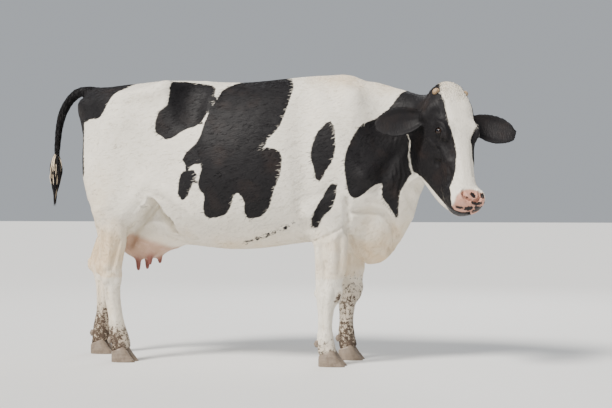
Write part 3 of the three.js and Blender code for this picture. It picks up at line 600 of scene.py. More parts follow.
normals = normals_of(hide)
MOUTH = [(0.415, 0.062, -0.186), (0.450, 0.072, -0.162), (0.490, 0.072, -0.138), (0.525, 0.055, -0.116),
         (0.553, 0, -0.102)]
NOSTRIL = [(0.493, 0.039, -0.05), (0.508, 0.043, -0.048), (0.521, 0.038, -0.05), (0.530, 0.025, -0.052),
           (0.533, 0.012, -0.053)]
NOSTRIL_WING = [(0.482, 0.040, -0.05), (0.492, 0.053, -0.05), (0.508, 0.057, -0.05), (0.524, 0.053, -0.054),
                (0.536, 0.040, -0.056)]
NOSTRIL_INNER = [(0.500, 0.024, -0.05), (0.514, 0.020, -0.052), (0.524, 0.008, -0.053)]
MUZZLE_FORMS = [
    (MOUTH, 0.020, 0.003),
    (MOUTH, 0.006, -0.0075),
    (NOSTRIL_WING, 0.012, 0.0055),
    (NOSTRIL_INNER, 0.011, 0.003),
    (NOSTRIL, 0.0105, -0.014),
    (NOSTRIL[1:4], 0.0075, -0.010),
]
for side in (-1, 1):
    for path, width, height in MUZZLE_FORMS:
        stroke([on_muzzle(place) for place in sided(path, side)], width, height)
stroke([on_muzzle((0.535, 0, -0.066)), on_muzzle((0.548, 0, -0.112))], 0.006, -0.002)

# The lids are a shell over each eyeball, open in an almond whose corners point along the face.
LID = 0.0046
EYE_TILT = math.radians(50)
EYE_TURN = math.radians(30)  # how far forward of straight sideways the eye looks
OPEN_LONG, OPEN_WIDE = 0.0195, 0.0145
EYE_AXES = {}
for side, sign in (("right", -1), ("left", 1)):
    outward = sign * math.cos(EYE_TURN) * FACE[1] + math.sin(EYE_TURN) * FACE[2]
    front = math.cos(EYE_TURN) * FACE[2] - sign * math.sin(EYE_TURN) * FACE[1]
    along = math.cos(EYE_TILT) * FACE[0] + math.sin(EYE_TILT) * front
    across = math.cos(EYE_TILT) * front - math.sin(EYE_TILT) * FACE[0]
    EYE_AXES[side] = np.array((along, across, outward))
    a, b, c = EYE_AXES[side] @ (points - EYES[side]).T
    r = np.hypot(a, b)
    almond = np.sqrt(np.abs(a / OPEN_LONG) ** 1.6 + np.abs(b / OPEN_WIDE) ** 2)
    near = (r < 0.036) & (c > -0.012) & (c < 0.06)
    shell = np.sqrt(np.clip((EYE_SIZE + LID) ** 2 - r**2, 0, None))
    deep = np.sqrt(np.clip((EYE_SIZE - 0.005) ** 2 - np.minimum(r, EYE_SIZE - 0.006) ** 2, 0, None))
    lifted = np.maximum(c, shell) + 0.0012 * np.exp(-(((almond - 1.12) / 0.12) ** 2)) * (almond > 1)
    # two creases follow the upper lid
    for out, sink in ((1.55, 0.0016), (2.0, 0.0012)):
        lifted -= sink * np.exp(-(((almond - out) / 0.10) ** 2)) * (b > 0)
    opening = ramp(almond, 0.90, 1.06)
    wanted = opening * lifted + (1 - opening) * deep
    share = near * (1 - ramp(r, 0.024, 0.036))
    move = share * (wanted - c)
    points += move[:, None] * outward
put_points(hide, points)
normals = normals_of(hide)

# The hide lies inside the flesh by the depth of the coat.
COAT_DEPTH = 0.0025
furry = 1 - np.maximum(zone["ear"], np.maximum(zone["teat"], zone["udder"]))
points -= normals * (COAT_DEPTH * furry * (1 - 0.6 * zone["leg"]))[:, None]
put_points(hide, points)

# ---- Markings ----
# Black patches on a white coat. Each outline is drawn on the unrolled hide: metres forward, and
# metres round the barrel from the spine, which are positive on the right side.
UNROLL = 0.45
AXIS_HEIGHT = 0.95


def unrolled(p):
    return np.stack([p[:, 0], UNROLL * np.arctan2(-p[:, 1], p[:, 2] - AXIS_HEIGHT)], 1)


RIGHT_PATCHES = {
    "rump": [(-0.43, 0.12), (-0.487, 0.218), (-0.538, 0.272), (-0.568, 0.322), (-0.672, 0.266),
             (-0.705, 0.23), (-0.700, 0.42), (-0.672, 0.76), (-0.72, 0.80), (-0.84, 0.60), (-0.84, -0.30),
             (-0.76, -0.42), (-0.70, -0.30), (-0.60, -0.22), (-0.50, -0.12), (-0.44, 0.02)],
    "loin": [(-0.202, 0.19), (-0.10, 0.165), (-0.011, 0.150), (0.004, 0.269), (-0.025, 0.35), (-0.065, 0.402),
             (-0.121, 0.419), (-0.18, 0.473), (-0.227, 0.495), (-0.249, 0.464), (-0.286, 0.445),
             (-0.286, 0.388), (-0.272, 0.332), (-0.226, 0.314), (-0.221, 0.273)],
    "saddle": [(0.028, 0.18), (0.073, 0.14), (0.13, 0.04), (0.20, -0.06), (0.30, -0.09), (0.345, 0.03),
               (0.381, 0.159), (0.372, 0.237), (0.354, 0.343), (0.336, 0.428), (0.276, 0.52), (0.241, 0.598),
               (0.277, 0.557), (0.342, 0.576), (0.357, 0.638), (0.344, 0.767), (0.312, 0.857),
               (0.298, 0.937), (0.255, 1.009), (0.176, 1.021), (0.169, 0.95), (0.177, 0.906),
               (0.153, 0.854), (0.127, 0.848), (0.112, 0.924), (0.077, 0.991), (-0.022, 1.017),
               (-0.036, 0.965), (-0.019, 0.863), (-0.044, 0.84), (-0.054, 0.781), (-0.028, 0.688),
               (-0.034, 0.632), (-0.067, 0.668), (-0.096, 0.699), (-0.14, 0.644), (-0.131, 0.598),
               (-0.079, 0.551), (-0.046, 0.496), (-0.033, 0.409), (-0.019, 0.351), (0.018, 0.236)],
    "small": [(-0.154, 0.752), (-0.127, 0.712), (-0.069, 0.706), (-0.069, 0.763), (-0.091, 0.832),
              (-0.115, 0.896), (-0.148, 0.915), (-0.162, 0.888)],
    "rib": [(0.573, 0.347), (0.598, 0.378), (0.603, 0.556), (0.591, 0.63), (0.558, 0.707), (0.544, 0.782),
            (0.521, 0.819), (0.503, 0.76), (0.502, 0.708), (0.481, 0.598), (0.489, 0.519), (0.512, 0.415)],
    "elbow": [(0.601, 0.759), (0.610, 0.801), (0.607, 0.925), (0.582, 1.011), (0.542, 1.045), (0.510, 1.12),
              (0.486, 1.12), (0.482, 1.065), (0.503, 1.003), (0.554, 0.897)],
    "neck": [(0.93, 0.03), (0.876, 0.135), (0.84, 0.187), (0.76, 0.285), (0.719, 0.332), (0.679, 0.43),
             (0.652, 0.55), (0.642, 0.68), (0.653, 0.853), (0.668, 0.933), (0.69, 0.963), (0.721, 0.956),
             (0.758, 0.902), (0.823, 0.844), (0.812, 0.975), (0.833, 1.076), (0.859, 1.157), (0.886, 1.24),
             (0.893, 1.116), (0.897, 1.026), (0.930, 0.88), (0.945, 0.80), (0.975, 0.74), (1.30, 0.70),
             (1.30, -0.60), (0.97, -0.62), (0.93, -0.35)],
}
LEFT_PATCHES = {
    "hip": [(-0.15, -0.16), (-0.34, -0.15), (-0.47, -0.25), (-0.50, -0.42), (-0.42, -0.60), (-0.30, -0.68),
            (-0.20, -0.58), (-0.12, -0.45), (-0.09, -0.28)],
    "side": [(0.32, -0.30), (0.18, -0.22), (0.06, -0.34), (0.02, -0.52), (-0.04, -0.70), (0.02, -0.90),
             (0.12, -0.98), (0.20, -0.86), (0.28, -0.95), (0.36, -0.80), (0.33, -0.62), (0.40, -0.46)],
    "shoulder": [(0.70, -0.26), (0.60, -0.34), (0.55, -0.52), (0.58, -0.74), (0.66, -0.86), (0.76, -0.80),
                 (0.80, -0.62), (0.90, -0.70), (1.00, -0.80), (1.00, -0.30), (0.84, -0.22)],
    "thigh": [(-0.63, -0.62), (-0.56, -0.70), (-0.54, -0.84), (-0.60, -0.94), (-0.67, -0.86), (-0.69, -0.70)],
    "flank": [(-0.17, -0.86), (-0.10, -0.84), (-0.07, -0.94), (-0.13, -1.01), (-0.19, -0.95)],
}


# The face is black round a white blaze. Outlines on the head: metres down the face, and metres round
# it from the middle of its front, which are negative on the right side.
def round_face(q):
    """Places on the head: metres down the face, and metres round it at the depth of its axis."""
    return np.stack([q[:, 0], HEAD_AXIS * np.arctan2(q[:, 1], q[:, 2] + HEAD_AXIS)], 1)


# The edges of the blaze: (metres down the face, degrees round from its front).
BLAZE_RIGHT = [(-0.045, 38), (0.013, 41), (0.057, 38), (0.109, 36), (0.170, 39), (0.220, 34), (0.258, 34),
               (0.311, 34), (0.361, 50), (0.394, 62), (0.429, 98), (0.464, 90), (0.492, 80), (0.524, 92),
               (0.540, 106), (0.60, 125)]
BLAZE_LEFT = [(-0.045, 26), (0.0, 34), (0.05, 46), (0.083, 51), (0.131, 50), (0.184, 44), (0.223, 35),
              (0.253, 33), (0.289, 45), (0.33, 58), (0.37, 70), (0.40, 84), (0.43, 104), (0.47, 112),
              (0.51, 130), (0.60, 150)]
BLAZE = [(s, -HEAD_AXIS * math.radians(d)) for s, d in BLAZE_RIGHT]
BLAZE += [(s, HEAD_AXIS * math.radians(d)) for s, d in reversed(BLAZE_LEFT)]
# Where the black of the cheek ends over the white underside of the jaw: (down the face, out of it).
JAW_EDGE = [(-0.1, -0.42), (0.20, -0.38), (0.24, -0.345), (0.275, -0.318), (0.323, -0.288),
            (0.42, -0.236), (0.459, -0.212), (0.50, -0.185), (0.56, -0.16)]
# Behind the head a fine white line runs down to the throat: (down the face, out of it).
THROAT = [(-0.10, -0.20), (0.09, -0.258), (0.122, -0.273), (0.158, -0.288), (0.20, -0.310),
          (0.24, -0.337), (0.262, -0.352), (0.30, -0.375), (0.40, -0.42), (0.60, -0.50)]
THROAT_LINE = 0.0042  # half its width
# Dark marks on the muzzle, and painted shade in the nostrils, where the lips part and under the mouth: a path
# in the head's own frame and a half width.
MUZZLE_MARKS_AND_SHADE = [
    ([(0.507, 0.002, -0.048), (0.514, 0.008, -0.05)], 0.011),
    # painted shade in the left nostril
    ([(0.505, 0.052, -0.05), (0.515, 0.054, -0.053)], 0.009),
    ([(0.541, 0.002, -0.058), (0.546, 0.022, -0.061), (0.540, 0.046, -0.063)], 0.008),
    ([(0.549, -0.060, -0.092), (0.555, -0.040, -0.086)], 0.007),
    ([(0.557, -0.020, -0.083), (0.559, 0.0, -0.078)], 0.011),
    ([(0.556, 0.024, -0.076), (0.553, 0.040, -0.082)], 0.010),
    ([(0.556, 0.015, -0.098), (0.545, 0.055, -0.092)], 0.013),
    ([(0.530, 0.070, -0.075), (0.520, 0.076, -0.085)], 0.007),
    # these three: painted shade where the lips part and on the chin under the mouth
    ([(0.560, -0.005, -0.100)], 0.010),
    ([(0.535, -0.030, -0.150), (0.538, 0.0, -0.148), (0.53, 0.035, -0.150)], 0.022),
    ([(0.500, -0.046, -0.165), (0.520, -0.036, -0.152)], 0.014),
    # painted shade in the pits of both nostrils
    *[(sided(NOSTRIL[1:4], side), 0.0085) for side in (-1, 1)],
]
# Flecks low on the right side: (x and z, half width).
FLECKS = [((0.150, 0.598), 0.011), ((0.178, 0.607), 0.006), ((0.206, 0.617), 0.010), ((0.224, 0.624), 0.006),
          ((0.250, 0.632), 0.011), ((0.268, 0.640), 0.007), ((0.296, 0.650), 0.009), ((0.325, 0.661), 0.006),
          ((0.352, 0.674), 0.012), ((0.372, 0.680), 0.007), ((0.398, 0.698), 0.009)]


# How deep in the black the whole of the ears and the tail lies, and the udder and lower legs in the white.
DEEP_EAR, DEEP_TAIL, WHITE_PART = 0.05, 0.03, -0.05
WHITE_LEG = 0.62  # height below which the legs are white


def beyond(q, edge):
    """How far out of the face places on the head are from an edge along it."""
    return q[:, 2] - np.interp(q[:, 0], *np.transpose(edge))


def black_at(p):
    """How far a place lies inside the black of the coat and of the painted shade on the muzzle, in metres,
    and below 0 in the white.
    """
    spots = unrolled(p)
    body = np.full(len(p), -1.0)
    for outline in (*RIGHT_PATCHES.values(), *LEFT_PATCHES.values()):
        body = np.maximum(body, inside_outline(spots, outline))
    for (x, z), size in FLECKS:
        away = np.hypot(p[:, 0] - x, p[:, 2] - z) + (p[:, 1] > 0)
        body = np.maximum(body, size - away)
    q = to_face(p)
    head = np.minimum(beyond(q, JAW_EDGE), -inside_outline(round_face(q), BLAZE))
    s, w, n = q.T
    waver = 0.0022 * np.sin(s * 640 + 2 * np.sin(w * 410)) * np.sin(w * 560 + n * 300)
    # dark marks, and painted shade in the nostrils and under the mouth
    for path, size in MUZZLE_MARKS_AND_SHADE:
        head = np.maximum(head, size - distance_to(q, path) + waver)
    ahead = ahead_of_neck(p)
    before_line = beyond(q, THROAT)
    black = np.where((ahead > 0.0) & (before_line > 0), head, body)
    line = np.abs(before_line) - THROAT_LINE * ramp(s, 0.09, 0.14)
    near_line = (ahead > -0.06) & (s > 0.09) & (s < 0.27)
    black = np.where(near_line, np.minimum(black, line), black)
    x, y, z = p.T
    tail = (x < -0.735) & (x + 0.12 * (z - 1.4) < -0.735) & (np.abs(y) < 0.045) & (z > 0.9) & (z < 1.395)
    return np.where(tail, DEEP_TAIL, black)


black = black_at(points)
face = to_face(points)
black = np.where(zone["ear"] > 0.5, DEEP_EAR, black)
black = np.where(zone["udder"] + zone["teat"] > 0.5, WHITE_PART, black)
black = np.where((zone["leg"] > 0.5) & (points[:, 2] < WHITE_LEG), WHITE_PART, black)
black = np.where(zone["tail"] > 0.6, DEEP_TAIL, black)
# the black holds the black coat and also the painted shade of the nostrils and mouth
save_values(hide, "black", black)
pink_edge = face[:, 0] - 0.466 - 6.6 * face[:, 1] ** 2
muzzle = ramp(pink_edge, 0.0, 0.026) * (1 - ramp(-face[:, 2], 0.15, 0.19)) * (zone["head"] > 0.5)
from_mouth = np.min([distance_to(face, sided(MOUTH, side)) for side in (-1, 1)], 0)
lips = (1 - ramp(from_mouth, 0.008, 0.016)) * (zone["head"] > 0.5)
muzzle = np.maximum(muzzle * (1 - ramp(np.abs(face[:, 1]), 0.066, 0.080)), lips)
haired = 0.9 * ramp(points[:, 2] + 0.35 * (points[:, 0] + 0.30), 0.550, 0.610)
bare = np.maximum(muzzle, np.maximum(zone["teat"], ramp(zone["udder"], 0.3, 0.8) * (1 - haired)))
save_values(hide, "bare", bare)
save_values(hide, "muzzle", muzzle)
save_values(hide, "teat", zone["teat"])
# Dried mud on the lower legs, a worn knee, and a tan tinge along the crest and over the thighs.
x, y, z = points.T
mud_hind_right = 0.78 * (1 - ramp(z, 0.10, 0.27)) * (1 - 0.45 * ramp(x, -0.50, -0.43))
mud_hind_left = 0.74 * (1 - ramp(z, 0.12, 0.42))
mud_fore_right = 0.50 * (1 - ramp(z, 0.08, 0.20))
mud_fore_left = 0.52 * (1 - ramp(z, 0.30, 0.55)) + 0.2 * (1 - ramp(z, 0.10, 0.22))
hind_mud = np.where(y > 0, mud_hind_left, mud_hind_right)
fore_mud = np.where(y > 0, mud_fore_left, mud_fore_right)
mud = zone["leg"] * np.where(x < 0, hind_mud, fore_mud)
KNEE_PATCH = [(0.625, -0.195, 0.335), (0.612, -0.195, 0.285), (0.600, -0.195, 0.25)]
FETLOCK_PATCH = [(0.545, -0.165, 0.20), (0.545, -0.165, 0.17)]
mud = np.maximum(mud, 0.95 * (1 - ramp(distance_to(points, KNEE_PATCH), 0.020, 0.050)))
mud = np.maximum(mud, 0.7 * (1 - ramp(distance_to(points, FETLOCK_PATCH), 0.012, 0.03)))
save_values(hide, "mud", mud)
fawn = 0.75 * ramp(z, 1.22, 1.42) * ramp(x, 0.25, 0.6)  # crest
fawn = fawn + 0.6 * (1 - ramp(x, -0.60, -0.38)) * (1 - ramp(z, 0.8, 1.2))  # thighs
fawn = fawn + 0.6 * (1 - ramp(z, 0.56, 0.78)) * (z > 0.42)  # tops of the legs and belly
fawn = fawn + 0.4 * ramp(x, 0.62, 0.75) * (1 - ramp(z, 0.70, 0.95))  # brisket
save_values(hide, "fawn", np.clip(fawn, 0, 1))


# ---- Coat finish ----
# Short, flat hair, cream white or brown black, covers the body. The muzzle, the teats and much of the
# udder are bare skin, pink where the coat is white and dark where it is black, and painted dark as shade in
# the nostrils and under the mouth. Fine bumps give the strands of the hair and the pores of the skin, and mud
# has dried on the lower legs.
class Value:
    """A number, colour or vector inside a material. Arithmetic on it adds Math nodes."""

    def __init__(self, tree, socket=None):
        self.tree, self.socket = tree, socket

    def node(self, kind, settings=None, values=None, out=0):
        made = self.tree.nodes.new(kind)
        for name, value in (settings or {}).items():
            setattr(made, name, value)
        for key, value in (values or {}).items():
            if isinstance(value, Value):
                self.tree.links.new(value.socket, made.inputs[key])
            else:
                made.inputs[key].default_value = value
        return Value(self.tree, made.outputs[out])

    def maths(self, operation, a, b):
        return self.node("ShaderNodeMath", {"operation": operation}, {0: a, 1: b})

    def __add__(self, other):
        return self.maths("ADD", self, other)

    def __sub__(self, other):
        return self.maths("SUBTRACT", self, other)

    def __rsub__(self, other):
        return self.maths("SUBTRACT", other, self)

    def __mul__(self, other):
        return self.maths("MULTIPLY", self, other)

    __radd__, __rmul__ = __add__, __mul__

    def between(self, low, high):
        """0 below low and 1 above high, smooth between them."""
        values = {"Value": self, "From Min": low, "From Max": high}
        return self.node("ShaderNodeMapRange", {"interpolation_type": "SMOOTHSTEP"}, values)

    def mix(self, a, b):
        """The colour a where this is 0 and b where it is 1."""
        return self.node("ShaderNodeMix", {"data_type": "RGBA"}, {0: self, 6: a, 7: b}, 2)

    def attribute(self, name, out=2):
        return self.node("ShaderNodeAttribute", {"attribute_name": name}, out=out)

    def stretched(self, vector, scale):
        return self.node("ShaderNodeVectorMath", {"operation": "MULTIPLY"}, {0: vector, 1: scale})

    def noise(self, vector, scale, detail=3, roughness=0.55):
        values = {"Vector": vector, "Scale": scale, "Detail": detail, "Roughness": roughness}
        return self.node("ShaderNodeTexNoise", None, values)


def new_material(name):
    made = bpy.data.materials.new(name)
    made.use_nodes = True
    return made, made.node_tree.nodes["Principled BSDF"], Value(made.node_tree)


def feed(tree, shader, **sockets):
    for name, value in sockets.items():
        tree.links.new(value.socket, shader.inputs[name.replace("_", " ")])


def bump(start, height, depth, distance=0.001, under=None):
    values = {"Height": height, "Strength": depth, "Distance": distance}
    if under:
        values["Normal"] = under
    return start.node("ShaderNodeBump", None, values)


WHITE_HAIR = (0.84, 0.785, 0.68, 1)
DULL_HAIR = (0.62, 0.56, 0.46, 1)
CREAM_HAIR = (0.74, 0.57, 0.37, 1)
BLACK_HAIR = (0.0075, 0.0065, 0.0075, 1)
BROWN_BLACK = (0.022, 0.014, 0.012, 1)
PINK_SKIN = (0.58, 0.30, 0.215, 1)
PALE_SKIN = (0.70, 0.48, 0.40, 1)
UDDER_SKIN = (0.52, 0.34, 0.24, 1)
TEAT_SKIN = (0.21, 0.075, 0.06, 1)
DARK_SKIN_AND_SHADE = (0.012, 0.009, 0.009, 1)
DRY_MUD = (0.40, 0.31, 0.22, 1)
MUD = (0.060, 0.038, 0.027, 1)


def coat_material(name, on_hide):
    material, shader, start = new_material(name)
    place = start.node("ShaderNodeTexCoord", out=3)
    hair = start.attribute("hair", 1) if on_hide else place
    patchy = start.noise(place, 7.0, 3)
    fine = start.noise(start.stretched(hair, (18, 130, 130)), 1.6, 3, 0.6)
    strands = start.noise(start.stretched(hair, (60, 520, 520)), 1.5, 2, 0.6)
    edge = start.noise(start.stretched(hair, (22, 90, 90)), 1.6, 2, 0.6)
    ragged = (edge - 0.5) * 0.015 if on_hide else (edge - 0.5) * 0.004
    black = (start.attribute("black") + ragged).between(-0.0022, 0.0022)
    muddy = start.attribute("mud")
    clods = (start.noise(place, 62, 4, 0.65) - 0.5) * 1.9 + (start.noise(place, 210, 3, 0.6) - 0.5) * 1.1
    mud = (muddy + clods - 0.50).between(0.0, 0.16)
    fawn = (start.attribute("fawn") * patchy * 1.5).between(0.1, 0.95)
    white = fawn.mix(WHITE_HAIR, CREAM_HAIR)
    white = (fine.between(0.35, 0.75) * 0.22).mix(white, DULL_HAIR)
    dark = (patchy.between(0.5, 0.8) * 0.8).mix(BLACK_HAIR, BROWN_BLACK)
    colour = black.mix(white, dark)
    rough = 0.64 - black * 0.09 + (fine - 0.5) * 0.25
    if on_hide:
        bare = start.attribute("bare")
        muzzle = start.attribute("muzzle")
        skin = muzzle.mix(UDDER_SKIN, PINK_SKIN)
        skin = (start.noise(place, 40, 4, 0.6).between(0.45, 0.7) * 0.35).mix(skin, PALE_SKIN)
        skin = start.attribute("teat").mix(skin, TEAT_SKIN)
        # dark skin under black hair, and painted shade in the nostrils and under the mouth
        skin = black.mix(skin, DARK_SKIN_AND_SHADE)
        colour = bare.between(0.05, 0.85).mix(colour, skin)
        rough = rough - bare * 0.14
    colour = (muddy.between(0.12, 0.75) * 0.75).mix(colour, DRY_MUD)
    colour = (mud * 0.92).mix(colour, MUD)
    feed(start.tree, shader, Base_Color=colour, Roughness=rough + mud * 0.25 + (0 if on_hide else 0.12))
    shader.inputs["Specular IOR Level"].default_value = 0.22
    shader.inputs["Sheen Weight"].default_value = 0.01
    shader.inputs["Sheen Roughness"].default_value = 0.45
    relief = bump(start, strands, 0.35, 0.0012)
    if on_hide:
        cells = {"Vector": place, "Scale": 260.0}
        pores = start.node("ShaderNodeTexVoronoi", {"feature": "DISTANCE_TO_EDGE"}, cells)
        relief = bump(start, fine * (1 - bare), 0.55, 0.0035, relief)
        relief = bump(start, pores.between(0.0, 0.18) * bare, 0.5, 0.0010, relief)
        relief = bump(start, start.noise(place, 38, 3), 0.22, 0.006, relief)
    feed(start.tree, shader, Normal=relief)
    return material


# Hair lies back along the body, down the legs, and along the face: the pattern's first coordinate
# runs along the hair.
leg = zone["leg"]
on_head_zone = np.clip(zone["head"] + zone["ear"], 0, 1)
flow = np.stack([x + 0.35 * (1.2 - z), y, z - 0.35 * x], 1)
flow = flow * (1 - leg)[:, None] + np.stack([z, x, y], 1) * leg[:, None]
flow = np.where((on_head_zone > 0.5)[:, None], face, flow)
vector = hide.data.attributes.new("hair", "FLOAT_VECTOR", "POINT")
vector.data.foreach_set("vector", flow.astype(np.float32).ravel())

put_points(hide, points + STAND)
hide.data.materials.clear()
hide.data.materials.append(coat_material("short_coat", True))
activate(hide)
bpy.ops.object.shade_smooth()
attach(hide, "root")
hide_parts(*FLESH)

# ---- Eyes ----
# Dark, wet eyeballs sit in the sockets of the hide under its lids. Each is a whole ball with a clear
# front that stands a little proud, a broad bluish pupil, a brown iris and a dark rim of white.
def settle(obj):
    """Puts an object's place and size into its mesh."""
    activate(obj)
    bpy.ops.object.transform_apply(location=True, rotation=True, scale=True)


DEEP_IRIS = (0.010, 0.006, 0.005, 1)
BROWN_IRIS = (0.030, 0.015, 0.010, 1)
BLUE_PUPIL = (0.002, 0.003, 0.006, 1)
EYE_RIM = (0.030, 0.016, 0.014, 1)


def eye_material():
    material, shader, start = new_material("eye")
    gaze = start.attribute("gaze", 1)
    parts = start.node("ShaderNodeSeparateXYZ", None, {0: gaze})
    along, across = (Value(start.tree, parts.socket.node.outputs[i]) for i in range(2))
    oval = along * along * 4.6 + across * across * 13.0
    pupil = start.node("ShaderNodeMath", {"operation": "SQRT"}, {0: oval})
    iris = start.node("ShaderNodeMath", {"operation": "SQRT"}, {0: along * along + across * across})
    streaks = start.noise(start.stretched(gaze, (14, 14, 2)), 1.0, 3)
    brown = streaks.mix(DEEP_IRIS, BROWN_IRIS)
    colour = pupil.between(0.9, 1.05).mix(BLUE_PUPIL, brown)
    rim = iris.between(0.78, 0.90)
    colour = rim.mix(colour, EYE_RIM)
    feed(start.tree, shader, Base_Color=colour, Roughness=0.06 + rim * 0.12)
    shader.inputs["Specular IOR Level"].default_value = 0.35
    shader.inputs["Coat Weight"].default_value = 0.12
    shader.inputs["Coat Roughness"].default_value = 0.03
    return material


eye_finish = eye_material()
for side, middle in EYES.items():
    deselect()
    bpy.ops.mesh.primitive_uv_sphere_add(segments=48, ring_count=32, radius=EYE_SIZE, location=middle + STAND)
    eyeball = bpy.context.object
    eyeball.name = "eyeball_" + side
    settle(eyeball)
    along, across, outward = EYE_AXES[side] @ (points_of(eyeball) - STAND - middle).T / EYE_SIZE
    # the clear front of the eye stands a little proud
    cornea = ramp(outward, 0.72, 1.0) * 0.0012
    put_points(eyeball, points_of(eyeball) + cornea[:, None] * EYE_AXES[side][2])
    gaze = eyeball.data.attributes.new("gaze", "FLOAT_VECTOR", "POINT")
    gaze.data.foreach_set("vector", np.stack([along, across, outward], 1).astype(np.float32).ravel())
    eyeball.data.materials.append(eye_finish)
    bpy.ops.object.shade_smooth()
    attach(eyeball, "root")
    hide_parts("eye_" + side)

# ---- Horn buds, claws and dewclaws ----
# Horn: two tan knobs left on the poll, and grey-brown claws and dewclaws that grow out of the hair.
# Each is a finer, rounded copy of its CAD piece. The claws carry growth rings, and are sunk into the
# hide at the top and worn flat on the ground.
CLAW_LIGHT, CLAW_DARK = (0.30, 0.235, 0.175, 1), (0.115, 0.085, 0.065, 1)
BUD_LIGHT, BUD_DARK = (0.52, 0.36, 0.20, 1), (0.26, 0.165, 0.095, 1)
DIRT = (0.12, 0.085, 0.06, 1)
ROUND = 6.283  # a whole turn
CLAW_RING = 0.0085  # height of one growth ring
RING_DEPTH = 0.00035


def horn_material(name, light, dark, ring_size):
    material, shader, start = new_material(name)
    place = start.node("ShaderNodeTexCoord", out=3)
    height = start.node("ShaderNodeSeparateXYZ", None, {0: place}, 2)
    wave = height * (ROUND / ring_size) + start.noise(place, 22, 2) * 5.0
    rings = start.node("ShaderNodeMath", {"operation": "SINE"}, {0: wave}) * 0.5 + 0.5
    grain = start.noise(start.stretched(place, (260, 260, 30)), 1.0, 3)
    dirt = start.noise(place, 30, 4, 0.6).between(0.42, 0.68)
    colour = (rings * 0.35 + grain * 0.5).mix(light, dark)
    colour = (dirt * 0.65).mix(colour, DIRT)
    feed(start.tree, shader, Base_Color=colour, Roughness=0.42 + dirt * 0.3)
    feed(start.tree, shader, Normal=bump(start, rings * 0.6 + grain * 0.4, 0.5, 0.0012))
    return material


def finish_horn(made, node, finish):
    activate(made)
    bpy.ops.object.shade_smooth()
    made.data.materials.append(finish)
    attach(made, "root")
    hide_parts(node)


def remade(node, name, grain, rounds):
    """A CAD piece of horn as a fine, rounded copy of itself."""
    made = copy_of([node], name)[0]
    apply_modifier(made, "REMESH", mode="VOXEL", voxel_size=grain)
    spots = points_of(made)
    put_points(made, soften(spots, edges_of(made), np.full(len(spots), 0.5), rounds))
    return made


def grown_claw(node, name):
    """A claw that goes on up into the hair, with growth rings and a worn edge along the ground."""
    made = copy_of([node], name)[0]
    select_faces(made, np.array([p.normal.z > 0.5 and p.center.z > 0.02 for p in made.data.polygons]))
    bpy.ops.mesh.extrude_region_move(TRANSFORM_OT_translate={"value": (-0.006, 0, 0.016)})
    bpy.ops.transform.resize(value=(0.86, 0.86, 1))
    bpy.ops.object.mode_set(mode="OBJECT")
    apply_modifier(made, "REMESH", mode="VOXEL", voxel_size=0.0026)
    spots = points_of(made)
    spots = soften(spots, edges_of(made), 0.6 * ramp(spots[:, 2], 0.001, 0.008), 7)
    put_points(made, spots)
    rings = np.sin(spots[:, 2] * ROUND / CLAW_RING + spots[:, 0] * 30) * RING_DEPTH
    spots = spots + normals_of(made) * (rings * ramp(spots[:, 2], 0.004, 0.012))[:, None]
    spots[:, 2] = np.where(spots[:, 2] < 0.0012, 0.0, spots[:, 2])
    put_points(made, spots)
    return made


claw_finish = horn_material("claw_horn", CLAW_LIGHT, CLAW_DARK, 0.007)
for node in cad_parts:
    if node.startswith("claw_"):
        finish_horn(grown_claw(node, node.replace("claw", "hoof")), node, claw_finish)
    if node.startswith("dewclaw_"):
        dew = remade(node, node.replace("dewclaw", "dew_hoof"), 0.0016, 6)
        finish_horn(dew, node, claw_finish)

bud_finish = horn_material("horn_bud", BUD_LIGHT, BUD_DARK, 0.005)
for side, sign in (("right", -1), ("left", 1)):
    bud = remade("horn_bud_" + side, "bud_" + side, 0.0014, 10)
    spots = points_of(bud)
    reach = (spots - spots.mean(0)) @ (FACE[1] * sign * 0.6 + FACE[2] * 0.8)
    pits = 0.0008 * np.sin(spots[:, 0] * 700) * np.sin(spots[:, 1] * 630)
    pitted = 0.0006 * np.sin(reach * 1600) + pits
    put_points(bud, spots + normals_of(bud) * pitted[:, None])
    finish_horn(bud, "horn_bud_" + side, bud_finish)

# ---- Coat ----
# Tufts of hair lie along the body wherever the coat breaks its outline or its sheen. Each tuft is a
# thin closed wedge that grows out of the hide, and each takes its colour from its root.
skin_tree = BVHTree.FromPolygons([Vector(p) for p in points], faces)
fans = [(f[0], f[i], f[i + 1]) for f in faces for i in range(1, len(f) - 1)]
fans = np.array(fans, np.int32)
corner = points[fans]
fan_out = np.cross(corner[:, 1] - corner[:, 0], corner[:, 2] - corner[:, 0])
areas = 0.5 * np.linalg.norm(fan_out, axis=1)
middles = corner.mean(1)
# What each part of the hide is, in the columns that follow.
HEAD, EAR, LEG, TAIL, BARE, UDDER, MUDDY, FAWN = range(8)
traits = np.stack([zone["head"], zone["ear"], zone["leg"], zone["tail"], bare, zone["udder"], mud, fawn], 1)
trait_means = traits[fans].mean(1)
face_middles = to_face(middles)


def hair_way(p, q, marks):
    """The way the hair lies at each root: p on the cow, q on the head, marks from the hide."""
    way = np.stack([-np.ones(len(p)), np.zeros(len(p)), -0.35 - 0.5 * ramp(p[:, 0], 0.6, 0.9)], 1)
    way[:, 2] -= 0.6 * ramp(0.85 - p[:, 2], 0, 0.25)
    sideways = np.sign(q[:, 1])[:, None] * FACE[1]
    down_face = np.where(q[:, 0] > 0.15, 1.0, -1.0)[:, None] * FACE[0] + 0.25 * sideways
    way = np.where(marks[:, [HEAD]] > 0.5, down_face, way)
    way = np.where(marks[:, [LEG]] > 0.5, (-0.25, 0, -1.0), way)
    way = np.where(marks[:, [TAIL]] > 0.5, (-0.2, 0, -1.0), way)
    return np.where(marks[:, [EAR]] > 0.5, sideways + 0.15 * FACE[0], way)


